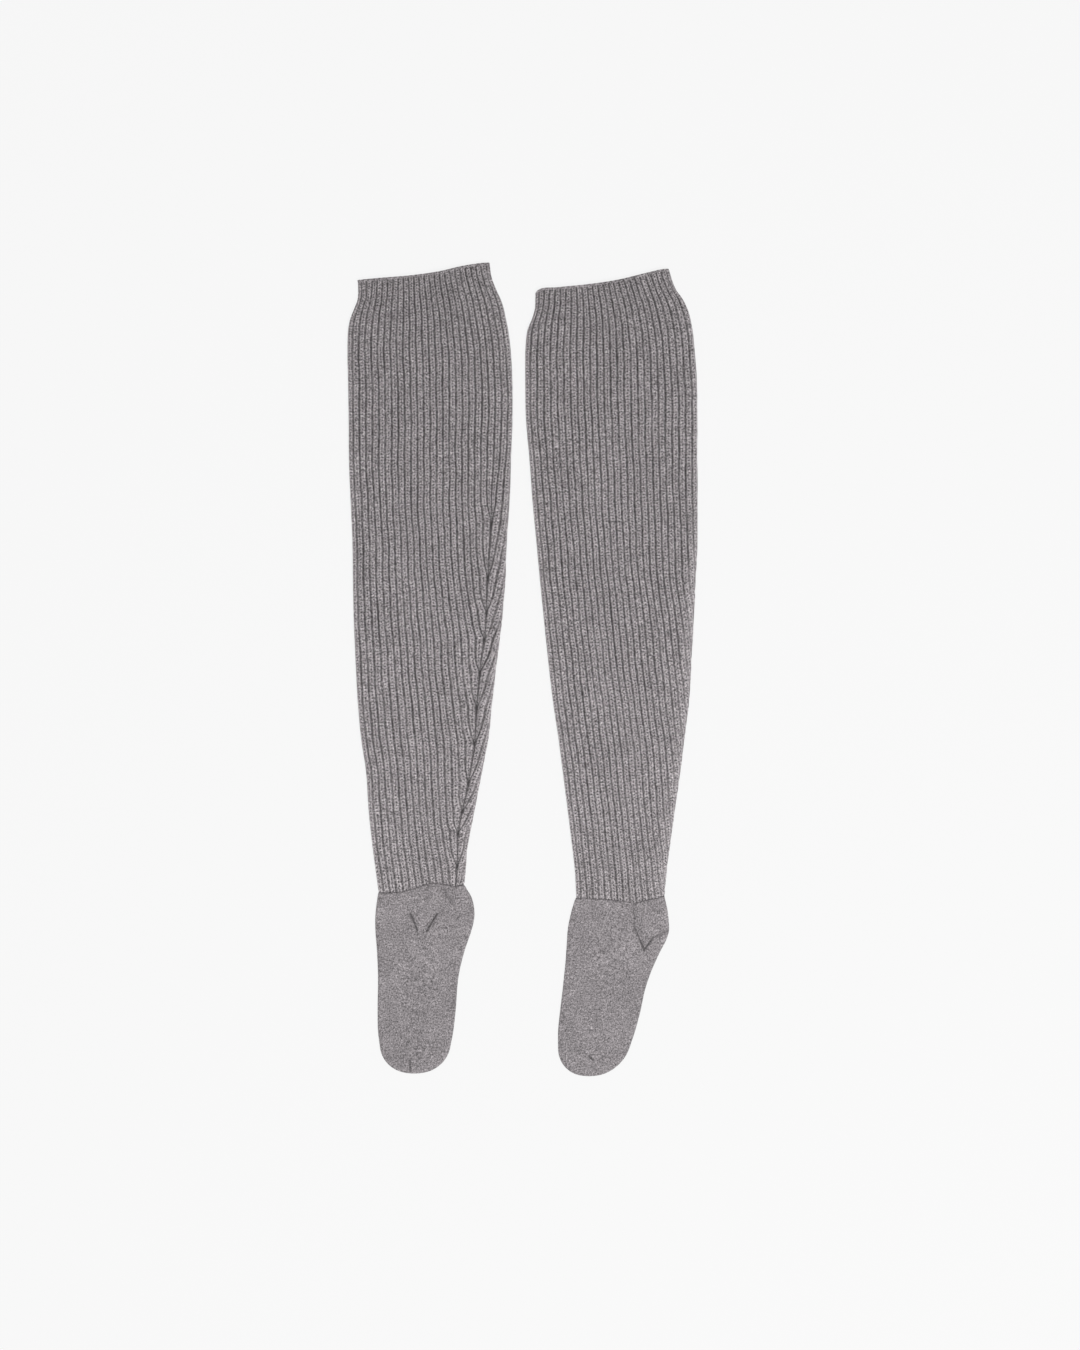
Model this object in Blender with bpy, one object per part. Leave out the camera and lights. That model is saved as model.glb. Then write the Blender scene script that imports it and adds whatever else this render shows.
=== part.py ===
"""A pair of thigh-high socks, laid flat side by side.

Each sock is knitted in two pieces: a ribbed leg tube that narrows to the ankle, and a plain jersey foot with
its heel pocket and toe. Each piece is a closed wall of knit. Its top panel lies on its underside panel, with the
thin hollow of the tube between them. The leg is open at the mouth and the ankle, the foot at the ankle.

Sizes are in millimetres. X runs across the pair, Y up the legs towards the mouths, and Z up from the surface
that the socks lie on.
"""

import math
from collections import namedtuple

import bmesh
import bpy

MM = 0.001

# Knit
LEG_WALL = 1.8          # thickness of the rib knit at the bottom of a valley
RIB_RISE = 0.8          # height of a rib above the valleys beside it
FOOT_WALL = 1.5         # thickness of the jersey
PANEL_GAP = 0.8         # hollow between the two panels where they lie on each other
LEG_FULLNESS = 0.6      # how much more the leg's top panel lifts along its middle
FOOT_FULLNESS = 0.8
SEAM_GAP = 0.4          # parting between a leg and its foot

# Side folds: how far in from the fold a panel has rounded to its full height
FOLD_TOP = 7.0
FOLD_UNDER = 3.0
FOLD_INSIDE = 4.0

# Across one rib: places as a share of its pitch, each with its height above the valleys
RIB_STEPS = ((0.28, RIB_RISE), (0.72, RIB_RISE), (1.0, 0.0))
RIB_PITCH = 6.5         # pitch of the ribs that come round the right fold to the decrease line
LAST_STRIP = 0.8        # least width that is left between such a rib and the fold
LEAN_IN = 60.0          # length above the first decrease over which the ribs begin to lean towards it
PULL = 1.5              # how many ribs back from the line its pull on their spacing has faded to a third
TOP_COURSE = 330.0      # Y of the first level course below the mouth
CUFF_ROWS = (0.0, 0.12, 0.24, 0.36, 0.5, 0.7)    # courses of the cuff, as shares of the way down to that one

# Toe
TOE_START = -395.0      # Y at which the foot's sides turn into the round of the toe
TOE_TURNS = (15.0, 30.0, 45.0, 58.0, 70.0, 80.0, 86.0)   # courses of the toe, in degrees round from there
TOE_POWER = 2.3         # how full the round of the toe is: 2 would be half an ellipse

# Mesh
UNDER_STEPS = 6         # steps across the flat of an underside
INSIDE_STEPS = 16       # steps across each panel's plain inside
FOOT_COLUMNS = 26       # steps across a foot's top panel
SOLE_ROWS = 19          # steps from the ankle to where the toe begins
HEEL_CLOSENESS = 1.4    # how much closer together those steps are at the heel: 1 would be even

# Colours
RIB_COLOUR = (0.23, 0.21, 0.22, 1.0)
JERSEY_COLOUR = (0.28, 0.26, 0.27, 1.0)
KNIT_ROUGHNESS = 0.95
SHARP_ANGLE = 35.0      # degrees between faces from which an edge is shaded as sharp

Edge = namedtuple("Edge", "y left right")
Place = namedtuple("Place", "x y")
Crease = namedtuple("Crease", "x0 y0 x1 y1 depth reach")
Swell = namedtuple("Swell", "x y reach rise")
Course = namedtuple("Course", "y taken")
Leg = namedtuple("Leg", "name edges mouth ankle ribs_left ribs_right courses line")
Foot = namedtuple("Foot", "name edges ankle toe_depth swells creases")

LEFT_ANKLE = (
    Place(-151.5, -233.7), Place(-130.0, -233.6), Place(-116.5, -230.4), Place(-108.0, -227.6),
    Place(-96.0, -224.4), Place(-84.0, -225.0), Place(-71.0, -227.3), Place(-61.0, -225.8),
)
RIGHT_ANKLE = (
    Place(56.0, -239.8), Place(86.0, -241.2), Place(101.0, -242.4), Place(110.0, -243.4),
    Place(116.0, -244.8), Place(127.0, -242.5), Place(141.0, -239.8), Place(150.0, -237.0),
)

LEFT_LEG = Leg(
    name="leg_left",
    edges=(
        Edge(426.0, -173.8, -34.0),
        Edge(412.0, -173.6, -32.0),
        Edge(398.0, -173.0, -27.0),
        Edge(388.0, -173.6, -22.4),
        Edge(378.0, -177.3, -19.2),
        Edge(368.0, -181.2, -17.0),
        Edge(356.0, -183.6, -14.5),
        Edge(340.0, -184.3, -12.4),
        Edge(304.0, -183.8, -10.1),
        Edge(262.0, -183.1, -9.9),
        Edge(220.0, -182.8, -11.5),
        Edge(178.0, -181.1, -13.2),
        Edge(136.0, -179.2, -16.0),
        Edge(94.0, -178.6, -17.6),
        Edge(52.0, -177.7, -21.0),
        Edge(10.0, -175.9, -26.2),
        Edge(-32.0, -173.7, -31.1),
        Edge(-74.0, -169.8, -35.6),
        Edge(-106.0, -165.0, -41.7),
        Edge(-148.0, -162.1, -49.8),
        Edge(-190.0, -157.5, -57.6),
        Edge(-211.0, -154.7, -59.3),
        Edge(-234.0, -151.5, -61.4),
    ),
    mouth=(
        Place(-174.0, 408.0), Place(-149.0, 410.3), Place(-117.0, 412.9), Place(-86.0, 417.4),
        Place(-65.0, 422.4), Place(-44.0, 425.8), Place(-34.0, 426.5),
    ),
    ankle=LEFT_ANKLE,
    ribs_left=23,
    ribs_right=3,
    courses=(
        Course(TOP_COURSE, 0), Course(285.0, 0), Course(240.0, 0), Course(200.0, 0), Course(168.0, 0),
        Course(154.0, 1), Course(98.0, 2), Course(61.5, 3), Course(33.0, 4), Course(-1.5, 5),
        Course(-38.0, 6), Course(-76.0, 7), Course(-117.0, 8), Course(-147.0, 9), Course(-170.0, 10),
        Course(-205.0, 11),
    ),
    line=(
        Place(-33.0, 154.0), Place(-36.2, 98.0), Place(-37.4, 61.5), Place(-40.0, 33.0),
        Place(-44.8, -1.5), Place(-47.4, -38.0), Place(-50.2, -76.0), Place(-56.4, -117.0),
        Place(-62.6, -147.0), Place(-67.0, -170.0), Place(-69.0, -205.0), Place(-70.0, -228.0),
    ),
)

RIGHT_LEG = Leg(
    name="leg_right",
    edges=(
        Edge(420.0, 13.6, 153.8),
        Edge(406.0, 13.6, 157.6),
        Edge(396.0, 13.2, 162.4),
        Edge(388.0, 12.8, 168.7),
        Edge(378.0, 12.3, 173.7),
        Edge(368.0, 9.5, 176.7),
        Edge(356.0, 4.6, 179.0),
        Edge(340.0, 2.6, 180.6),
        Edge(304.0, 2.2, 183.4),
        Edge(262.0, 3.0, 184.1),
        Edge(220.0, 6.7, 184.0),
        Edge(178.0, 9.7, 184.3),
        Edge(136.0, 13.7, 184.0),
        Edge(94.0, 17.6, 182.1),
        Edge(52.0, 21.8, 180.2),
        Edge(10.0, 26.2, 177.7),
        Edge(-32.0, 31.1, 175.4),
        Edge(-74.0, 37.3, 170.2),
        Edge(-106.0, 41.4, 166.3),
        Edge(-148.0, 46.8, 160.3),
        Edge(-190.0, 52.0, 154.5),
        Edge(-211.0, 54.3, 151.8),
        Edge(-240.0, 55.8, 149.2),
    ),
    mouth=(
        Place(13.4, 397.6), Place(37.0, 400.4), Place(68.0, 403.5), Place(100.0, 408.3),
        Place(131.0, 415.8), Place(148.0, 419.6), Place(154.0, 420.0),
    ),
    ankle=RIGHT_ANKLE,
    ribs_left=26,
    ribs_right=0,
    courses=(
        Course(TOP_COURSE, 0), Course(285.0, 0), Course(240.0, 0), Course(195.0, 0), Course(140.0, 0),
        Course(99.0, 1), Course(67.0, 2), Course(27.0, 3), Course(-13.0, 4), Course(-46.5, 5),
        Course(-74.0, 6), Course(-103.0, 7), Course(-139.0, 8), Course(-166.0, 9), Course(-193.5, 10),
        Course(-221.0, 11),
    ),
    line=None,
)

LEFT_FOOT = Foot(
    name="foot_left",
    edges=(
        Edge(-225.0, -152.0, -61.0),
        Edge(-230.0, -151.6, -58.6),
        Edge(-236.0, -151.7, -54.8),
        Edge(-242.0, -152.6, -52.3),
        Edge(-255.0, -154.1, -50.3),
        Edge(-263.0, -154.5, -50.9),
        Edge(-274.0, -154.3, -53.6),
        Edge(-295.0, -152.7, -60.7),
        Edge(-321.0, -151.6, -66.9),
        Edge(-358.0, -152.0, -70.1),
        Edge(-379.0, -151.6, -72.5),
        Edge(TOE_START, -149.7, -75.5),
    ),
    ankle=LEFT_ANKLE,
    toe_depth=28.8,
    swells=(
        Swell(-86.0, -252.0, 34.0, 1.6),
        Swell(-112.0, -318.0, 40.0, 0.5),
        Swell(-112.0, -396.0, 26.0, 0.6),
    ),
    creases=(
        Crease(-117.0, -257.0, -110.5, -273.0, 1.3, 5.5),
        Crease(-89.5, -254.0, -101.0, -275.0, 1.6, 5.5),
        Crease(-83.0, -231.0, -73.5, -243.0, 0.9, 6.0),
    ),
)

RIGHT_FOOT = Foot(
    name="foot_right",
    edges=(
        Edge(-236.5, 55.7, 149.5),
        Edge(-240.0, 55.3, 149.6),
        Edge(-251.0, 52.1, 152.0),
        Edge(-265.5, 48.7, 153.6),
        Edge(-274.0, 47.4, 153.8),
        Edge(-284.0, 46.7, 150.7),
        Edge(-295.0, 46.0, 145.0),
        Edge(-305.0, 45.3, 140.2),
        Edge(-321.0, 43.7, 133.5),
        Edge(-337.0, 42.0, 128.4),
        Edge(-358.0, 39.5, 123.9),
        Edge(-379.0, 37.4, 118.3),
        Edge(TOE_START, 37.3, 113.0),
    ),
    ankle=RIGHT_ANKLE,
    toe_depth=31.6,
    swells=(
        Swell(132.0, -262.0, 30.0, 1.6),
        Swell(92.0, -300.0, 38.0, 0.6),
        Swell(76.0, -395.0, 26.0, 0.6),
    ),
    creases=(
        Crease(117.0, -246.0, 118.0, -270.0, 1.0, 5.5),
        Crease(118.0, -270.0, 127.5, -294.0, 1.5, 5.5),
        Crease(127.5, -294.0, 137.0, -280.0, 1.5, 5.5),
        Crease(137.0, -280.0, 153.0, -274.0, 1.0, 5.5),
    ),
)


def follow(places, at):
    """Smooth curve through (position, value) pairs, read at a position, straight past either end."""
    places = sorted(places)
    last = len(places) - 1
    steps = [(b[1] - a[1]) / (b[0] - a[0]) for a, b in zip(places, places[1:])]
    slopes = [steps[0]] + [(a + b) / 2 for a, b in zip(steps, steps[1:])] + [steps[-1]]
    if at <= places[0][0]:
        return places[0][1] + slopes[0] * (at - places[0][0])
    if at >= places[last][0]:
        return places[last][1] + slopes[last] * (at - places[last][0])
    right = next(i for i in range(1, last + 1) if at <= places[i][0])
    left = right - 1
    span = places[right][0] - places[left][0]
    t = (at - places[left][0]) / span
    rise = places[right][1] - places[left][1]
    return (places[left][1] + rise * t * t * (3 - 2 * t)
            + span * t * (1 - t) * (slopes[left] * (1 - t) - slopes[right] * t))


def rounding(inward, reach):
    """Share of a panel's full height at a distance in from its fold: a quarter of an ellipse."""
    if inward >= reach:
        return 1.0
    return math.sqrt(max(0.0, 1.0 - (1.0 - inward / reach) ** 2))


def hump(distance, reach):
    """1 at no distance, falling smoothly to 0 at the reach."""
    if distance >= reach:
        return 0.0
    return (1.0 - (distance / reach) ** 2) ** 2


def fold_curve(height, steps=12):
    """The leg's top panel from the side fold inwards, as (length along the knit, distance inwards)."""
    points = [(0.0, 0.0)]
    length = 0.0
    for step in range(1, steps + 1):
        before = (step - 1) / steps * math.pi / 2
        after = step / steps * math.pi / 2
        length += math.hypot(FOLD_TOP * (math.cos(before) - math.cos(after)),
                             height * (math.sin(after) - math.sin(before)))
        points.append((length, FOLD_TOP * (1.0 - math.cos(after))))
    return points


FOLD = fold_curve(LEG_WALL + PANEL_GAP / 2)
FOLD_LENGTH = FOLD[-1][0]
FOLD_EXTRA = FOLD_LENGTH - FOLD_TOP


def inward_along(length):
    """Distance in from the side fold of a point this far along the knit from the fold."""
    if length >= FOLD_LENGTH:
        return length - FOLD_EXTRA
    for (near, near_in), (far, far_in) in zip(FOLD, FOLD[1:]):
        if length <= far:
            return near_in + (far_in - near_in) * (length - near) / (far - near)
    return FOLD_TOP


class Sides:
    """The two side folds of a piece, moved in by an inset."""

    def __init__(self, edges, inset=0.0):
        self.lefts = [(edge.y, edge.left) for edge in edges]
        self.rights = [(edge.y, edge.right) for edge in edges]
        self.inset = inset

    def left(self, y):
        return follow(self.lefts, y) + self.inset

    def right(self, y):
        return follow(self.rights, y) - self.inset

    def inward(self, x, y):
        return max(0.0, min(x - self.left(y), self.right(y) - x))


class FootSides(Sides):
    """The side folds of a foot. Below the toe's start they run on, drawn in towards each other in a round."""

    def __init__(self, foot, inset=0.0):
        super().__init__(foot.edges, inset)
        self.depth = foot.toe_depth - inset

    def down(self, y):
        """How far down the round of the toe a Y is, from 0 to 1."""
        return min(1.0, max(0.0, (TOE_START - y) / self.depth))

    def centre(self, y):
        return (super().left(y) + super().right(y)) / 2

    def half(self, y):
        return (super().right(y) - super().left(y)) / 2

    def left(self, y):
        return self.centre(y) - self.half(y) * (1.0 - self.down(y) ** TOE_POWER) ** (1 / TOE_POWER)

    def right(self, y):
        return self.centre(y) + self.half(y) * (1.0 - self.down(y) ** TOE_POWER) ** (1 / TOE_POWER)

    def inward(self, x, y):
        if y >= TOE_START:
            return super().inward(x, y)
        down = self.down(y)
        half = self.half(y)
        sideways = abs(x - self.centre(y)) / half
        share = (sideways ** TOE_POWER + down ** TOE_POWER) ** (1 / TOE_POWER)
        run = math.hypot(sideways * half, down * self.depth)
        return max(0.0, run / share - run)


class Row:
    """One course across a tube: the curve that it follows, and where it meets the two side folds.

    The underside panel follows the same curve, or runs straight from fold to fold.
    """

    def __init__(self, sides, curve, straight_under):
        self.sides = sides
        self.curve = curve
        self.straight_under = straight_under
        self.left = self.meet(sides.left)
        self.right = self.meet(sides.right)
        self.knit_width = self.right - self.left + 2 * FOLD_EXTRA

    def meet(self, side):
        x = side(self.curve(0.0))
        for _ in range(8):
            x = side(self.curve(x))
        return x

    def inward(self, x):
        if x <= self.left or x >= self.right:
            return 0.0
        return self.sides.inward(x, self.curve(x))

    def across(self, x):
        return (x - self.left) / (self.right - self.left)

    def under_curve(self, x):
        if not self.straight_under:
            return self.curve(x)
        near = self.curve(self.left)
        return near + (self.curve(self.right) - near) * self.across(x)

    def at(self, share):
        """X at a share of the way across, with points set closer together towards the folds."""
        share = (share + (1.0 - math.cos(math.pi * share)) / 2) / 2
        return self.left + (self.right - self.left) * share

    def along_knit(self, length):
        """X of a point on the top panel, this far along the knit from the left fold."""
        if length < self.knit_width / 2:
            return self.left + inward_along(length)
        return self.right - inward_along(self.knit_width - length)


class Tube:
    """A flattened tube of knit: rings of its outside and inside, stitched to each other down its length."""

    def __init__(self, wall):
        self.mesh = bmesh.new()
        self.wall = wall
        self.middle = wall + PANEL_GAP / 2
        self.rings = []

    def strand(self, points):
        """Vertices for points given as (order, share across, place). A place given twice keeps one vertex."""
        strand = []
        last_place = None
        for order, across, place in points:
            if place == last_place:
                vertex = strand[-1][2]
            else:
                vertex = self.mesh.verts.new([value * MM for value in place])
            strand.append((order, across, vertex))
            last_place = place
        return strand

    def add_ring(self, outer, inner, top_points, lift):
        """One ring of the wall.

        outer and inner are the rows of its outside and its inside. top_points are the outside's points on the
        top panel, as (order, x, height of the rib there). lift gives, at an X, how much more than the panel
        gap the top panel lifts: below 0 it is creased.
        """
        def top(x, rib):
            rise = self.middle + lift(x) + rib
            return (x, outer.curve(x), self.middle + rise * rounding(outer.inward(x), FOLD_TOP))

        def under(x):
            return (x, outer.under_curve(x), self.middle * (1.0 - rounding(outer.inward(x), FOLD_UNDER)))

        def inside_top(x):
            room = PANEL_GAP / 2 + max(0.0, lift(x))
            return (x, inner.curve(x), self.middle + room * rounding(inner.inward(x), FOLD_INSIDE))

        def inside_under(x):
            room = PANEL_GAP / 2
            return (x, inner.under_curve(x), self.middle - room * rounding(inner.inward(x), FOLD_INSIDE))

        inside_xs = [inner.at(step / INSIDE_STEPS) for step in range(INSIDE_STEPS + 1)]
        ring = {
            "top": self.strand([(order, outer.across(x), top(x, rib)) for order, x, rib in top_points]),
            "inside_top": self.strand([(i, inner.across(x), inside_top(x)) for i, x in enumerate(inside_xs)]),
        }
        ring["under"] = self.between(ring["top"], under_xs(outer), outer, under)
        ring["inside_under"] = self.between(ring["inside_top"], inside_xs, inner, inside_under)
        self.rings.append(ring)

    def between(self, ends, xs, row, place):
        """A strand that shares the vertices at both side folds with another strand."""
        middle = self.strand([(i, row.across(x), place(x)) for i, x in enumerate(xs)][1:-1])
        return [(0, 0.0, ends[0][2])] + middle + [(len(xs) - 1, 1.0, ends[-1][2])]

    def stitch(self, first, second, by):
        """Fill between two strands, stepping along the one that is behind: by 0 is order, by 1 is across."""
        a = 0
        b = 0
        while a < len(first) - 1 or b < len(second) - 1:
            next_a = first[a + 1][by] if a < len(first) - 1 else math.inf
            next_b = second[b + 1][by] if b < len(second) - 1 else math.inf
            step_a = a < len(first) - 1 and next_a <= next_b
            step_b = b < len(second) - 1 and next_b <= next_a
            corners = [first[a][2]]
            if step_a:
                corners.append(first[a + 1][2])
            if step_b:
                corners.append(second[b + 1][2])
            corners.append(second[b][2])
            self.face(corners)
            a += int(step_a)
            b += int(step_b)

    def face(self, corners):
        distinct = []
        for corner in corners:
            if corner not in distinct:
                distinct.append(corner)
        if len(distinct) > 2:
            self.mesh.faces.new(distinct)

    def stitch_rings(self):
        for upper, lower in zip(self.rings, self.rings[1:]):
            for panel in upper:
                self.stitch(upper[panel], lower[panel], 0)

    def close_rim(self, ring):
        """The rim of an open end, between the outside and the inside."""
        self.stitch(ring["top"], ring["inside_top"], 1)
        self.stitch(ring["under"], ring["inside_under"], 1)

    def close_tip(self, ring, panels, place):
        """Gather a pair of panels to one point."""
        tip = self.mesh.verts.new([value * MM for value in place])
        for panel in panels:
            self.stitch(ring[panel], [(math.inf, 1.0, tip)], 0)


def under_xs(row):
    """X of the points across an underside, close together on its two rounds and even on its flat."""
    width = row.right - row.left
    reach = min(FOLD_UNDER, width / 4)
    flat = [reach + (width - 2 * reach) * step / UNDER_STEPS for step in range(1, UNDER_STEPS)]
    inwards = [0.0, reach / 4, reach] + flat + [width - reach, width - reach / 4, width]
    return [row.left + inward for inward in inwards]


def leg_courses(leg):
    """The courses of a leg from the mouth down, as (curve, ribs taken in down to it)."""
    def cuff(share):
        return lambda x: follow(leg.mouth, x) * (1 - share) + TOP_COURSE * share

    def level(y):
        return lambda x: y

    courses = [(cuff(share), 0) for share in CUFF_ROWS]
    courses += [(level(course.y), course.taken) for course in leg.courses]
    courses.append((lambda x: follow(leg.ankle, x) + SEAM_GAP / 2, leg.courses[-1].taken))
    return courses


def spread_ribs(leg, y):
    """How many ribs, as a number with a fraction, the even pitch left of the decrease line fits at a Y.

    At a decrease it is half a rib more than are left, and it falls steadily to half a rib less at the next.
    """
    ends = [course for before, course in zip(leg.courses, leg.courses[1:]) if course.taken > before.taken]
    places = [(course.y, leg.ribs_left - course.taken + 0.5) for course in ends]
    places.append((ends[0].y + LEAN_IN, leg.ribs_left))
    return min(leg.ribs_left, follow(places, y))


def left_rib_lengths(row, leg, ribs, line):
    """Where a share of the left ribs lies, as length along the knit from the left fold."""
    if leg.line is None:
        return lambda rib: rib * line / ribs
    pitch = line / spread_ribs(leg, row.curve(row.right))
    return lambda rib: rib * pitch + (line - ribs * pitch) * math.exp((rib - ribs) / PULL)


def rib_points(row, leg, taken):
    """Points across a leg's top panel, as (order, x, height above the valleys).

    Ribs left of the decrease line are counted from the left fold, and those right of it from the line. Each
    decrease takes one rib from either side. The line's point is given twice, as the end of the left ribs and
    as the start of the right ones. Where no line shows, it is hidden at the right fold.
    """
    ribs = leg.ribs_left - taken
    if leg.line is None:
        line = row.knit_width
    elif taken == 0:
        line = row.knit_width * leg.ribs_left / (leg.ribs_left + leg.ribs_right)
    else:
        line = follow([(place.y, place.x) for place in leg.line], row.curve(row.right))
        line += FOLD_EXTRA - row.left
    length = left_rib_lengths(row, leg, ribs, line)
    points = [(0.0, row.left, 0.0)]
    for rib in range(ribs):
        for step, rise in RIB_STEPS:
            points.append((rib + step, row.along_knit(length(rib + step)), rise))
    if leg.line is not None:
        pitch = (row.knit_width - line) / leg.ribs_right if taken == 0 else RIB_PITCH
        first = leg.ribs_left + taken
        points[-1] = (ribs, row.along_knit(line), 0.0)
        points.append((first, row.along_knit(line), 0.0))
        for rib in range(leg.ribs_right + 1):
            for step, rise in RIB_STEPS:
                far = line + (rib + step) * pitch
                if far < row.knit_width - LAST_STRIP:
                    points.append((first + rib + step, row.along_knit(far), rise))
    points.append((math.inf, row.right, 0.0))
    return points


def build_leg(collection, leg):
    outside = Sides(leg.edges)
    inside = Sides(leg.edges, LEG_WALL)
    tube = Tube(LEG_WALL)
    for curve, taken in leg_courses(leg):
        outer = Row(outside, curve, taken > 0)

        def lift(x, outer=outer):
            across = outer.across(x)
            return LEG_FULLNESS * 4 * across * (1 - across)

        tube.add_ring(outer, Row(inside, curve, taken > 0), rib_points(outer, leg, taken), lift)
    tube.stitch_rings()
    tube.close_rim(tube.rings[0])
    tube.close_rim(tube.rings[-1])
    return add_piece(collection, leg.name, tube.mesh, RIB_COLOUR)


def distance_to(crease, x, y):
    """Distance from a point to a crease's run."""
    run_x = crease.x1 - crease.x0
    run_y = crease.y1 - crease.y0
    share = ((x - crease.x0) * run_x + (y - crease.y0) * run_y) / (run_x ** 2 + run_y ** 2)
    share = min(1.0, max(0.0, share))
    return math.hypot(x - crease.x0 - share * run_x, y - crease.y0 - share * run_y)


def foot_lift(foot, row, x):
    y = row.curve(x)
    across = row.across(x)
    lift = FOOT_FULLNESS * 4 * across * (1 - across)
    for swell in foot.swells:
        lift += swell.rise * hump(math.hypot(x - swell.x, y - swell.y), swell.reach)
    return lift - max(crease.depth * hump(distance_to(crease, x, y), crease.reach) for crease in foot.creases)


def foot_courses(foot, sides):
    """The courses of a foot: from the ankle to where the toe begins, then down the toe's round."""
    def sole(share):
        return lambda x: (follow(foot.ankle, x) - SEAM_GAP / 2) * (1 - share) + TOE_START * share

    def toe(turn):
        return lambda x: TOE_START - sides.depth * math.sin(turn)

    courses = [sole((step / SOLE_ROWS) ** HEEL_CLOSENESS) for step in range(SOLE_ROWS + 1)]
    return courses + [toe(math.radians(turn)) for turn in TOE_TURNS]


def build_foot(collection, foot):
    outside = FootSides(foot)
    inside = FootSides(foot, FOOT_WALL)
    tube = Tube(FOOT_WALL)
    for outer_curve, inner_curve in zip(foot_courses(foot, outside), foot_courses(foot, inside)):
        outer = Row(outside, outer_curve, True)
        points = [(step, outer.at(step / FOOT_COLUMNS), 0.0) for step in range(FOOT_COLUMNS + 1)]
        tube.add_ring(outer, Row(inside, inner_curve, True), points,
                      lambda x, outer=outer: foot_lift(foot, outer, x))
    tube.stitch_rings()
    tube.close_rim(tube.rings[0])
    for sides, panels in ((outside, ("top", "under")), (inside, ("inside_top", "inside_under"))):
        tip_y = TOE_START - sides.depth
        tube.close_tip(tube.rings[-1], panels, (sides.centre(tip_y), tip_y, tube.middle))
    return add_piece(collection, foot.name, tube.mesh, JERSEY_COLOUR)


def add_piece(collection, name, mesh, colour):
    """A finished mesh as a named object with a material of its own."""
    bmesh.ops.recalc_face_normals(mesh, faces=mesh.faces)
    data = bpy.data.meshes.new(name)
    mesh.to_mesh(data)
    mesh.free()
    data.shade_smooth()
    data.set_sharp_from_angle(angle=math.radians(SHARP_ANGLE))
    material = bpy.data.materials.new(name)
    material.use_nodes = True
    shader = material.node_tree.nodes["Principled BSDF"]
    shader.inputs["Base Color"].default_value = colour
    shader.inputs["Roughness"].default_value = KNIT_ROUGHNESS
    shader.inputs["Metallic"].default_value = 0.0
    data.materials.append(material)
    piece = bpy.data.objects.new(name, data)
    collection.objects.link(piece)
    return piece


def main():
    for thing in list(bpy.data.objects):
        bpy.data.objects.remove(thing, do_unlink=True)
    collection = bpy.data.collections.new("thigh_high_socks")
    bpy.context.scene.collection.children.link(collection)
    for leg in (LEFT_LEG, RIGHT_LEG):
        build_leg(collection, leg)
    for foot in (LEFT_FOOT, RIGHT_FOOT):
        build_foot(collection, foot)


main()
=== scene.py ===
"""The looks of a pair of thigh-high socks, laid flat side by side on a pale floor.

Each sock is a ribbed leg and a plain jersey foot. Each of these is a thin closed shell of knit on the form
of its solid, with the ribs, the line of decreases, the creases and the ankle seam finer than on the solid.

Sizes are in millimetres up to where a mesh is made. X runs across the pair, Y up the legs towards the
mouths, and Z up from the floor.
"""

import math
from collections import namedtuple

import bpy
import numpy as np
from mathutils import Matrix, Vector


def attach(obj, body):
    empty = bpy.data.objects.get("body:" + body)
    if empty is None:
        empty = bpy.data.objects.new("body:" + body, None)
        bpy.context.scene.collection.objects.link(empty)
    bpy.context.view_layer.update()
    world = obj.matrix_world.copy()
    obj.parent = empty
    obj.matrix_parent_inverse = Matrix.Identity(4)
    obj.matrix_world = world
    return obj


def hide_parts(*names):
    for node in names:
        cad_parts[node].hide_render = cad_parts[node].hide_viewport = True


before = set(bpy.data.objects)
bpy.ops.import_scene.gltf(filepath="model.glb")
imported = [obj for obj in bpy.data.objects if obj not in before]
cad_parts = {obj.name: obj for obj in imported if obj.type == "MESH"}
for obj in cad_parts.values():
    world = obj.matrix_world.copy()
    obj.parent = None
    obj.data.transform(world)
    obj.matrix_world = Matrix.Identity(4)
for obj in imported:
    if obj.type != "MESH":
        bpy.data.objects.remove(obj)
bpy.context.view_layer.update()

MM = 0.001

# Knit
RIDGE_WALL = 2.6  # thickness of the rib knit at the top of a rib
RIB_DEPTH = 1.35  # depth of the valleys between ribs on the top panel
RIB_DEPTH_UNDER = 0.9  # the same on the underside, where the cloth's weight presses the ribs flat
PANEL_GAP = 0.8  # hollow between the two panels where they lie on each other
SEAM_GAP = 0.4
COURSE = 3.2  # height of one stitch of the rib knit
CHEVRON = 1.8  # how much further towards the mouth the middle of a rib's stitch lies than its sides
WANDER = 0.28  # how far the ribs wave together
STRAY = 0.16  # how far each valley strays from its even line by itself
CALM_WIDTH = 5.0  # width from which a rib lets its valleys stray in full
WANDER_IN = 12.0  # how far from the left fold the waves have come to their full size
FULL_WIDTH = 0.75  # share of its usual width from which a rib has its full height
RIB_WAIST = 0.34  # how much lower a rib is between two stitches, in its middle and beside it
STRAND_WAIST = 0.12
TIPS_MOUTH = 9.0  # lengths from the mouth and the ankle over which the stitches' tips come up
TIPS_ANKLE = 8.0
MOUTH_FILL = 0.7  # share of a rib's height to which the valleys fill up at the mouth's edge
MOUTH_ROLL = 3.0  # length over which they do
KNOT = 2.6  # length above the ankle over which the ribs run out at the seam
KNOT_SINK = 0.2  # how deep the seam draws them in
JERSEY_STITCH = 2.3  # width of one stitch of the jersey
JERSEY_COURSE = 1.7

# Waves, each row one: its share, its lengths along two directions, and its turn for each step of the seed
UNEVEN_WAVES = ((0.42, 17.0, 41.0, 1.0), (0.30, 29.0, -23.0, 2.1), (0.28, 11.0, 67.0, 3.7))
STRAY_WAVES = ((1.0, 7.3, 1.0, 4.7), (0.7, 3.1, 1.0, 2.9), (0.9, 19.0, 1.0, 7.7))
WANDER_WAVES = ((1.0, 23.0, 19.0, 0.0), (0.7, 9.1, -31.0, 1.0))
UNDER_SEED = 50.0

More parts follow.
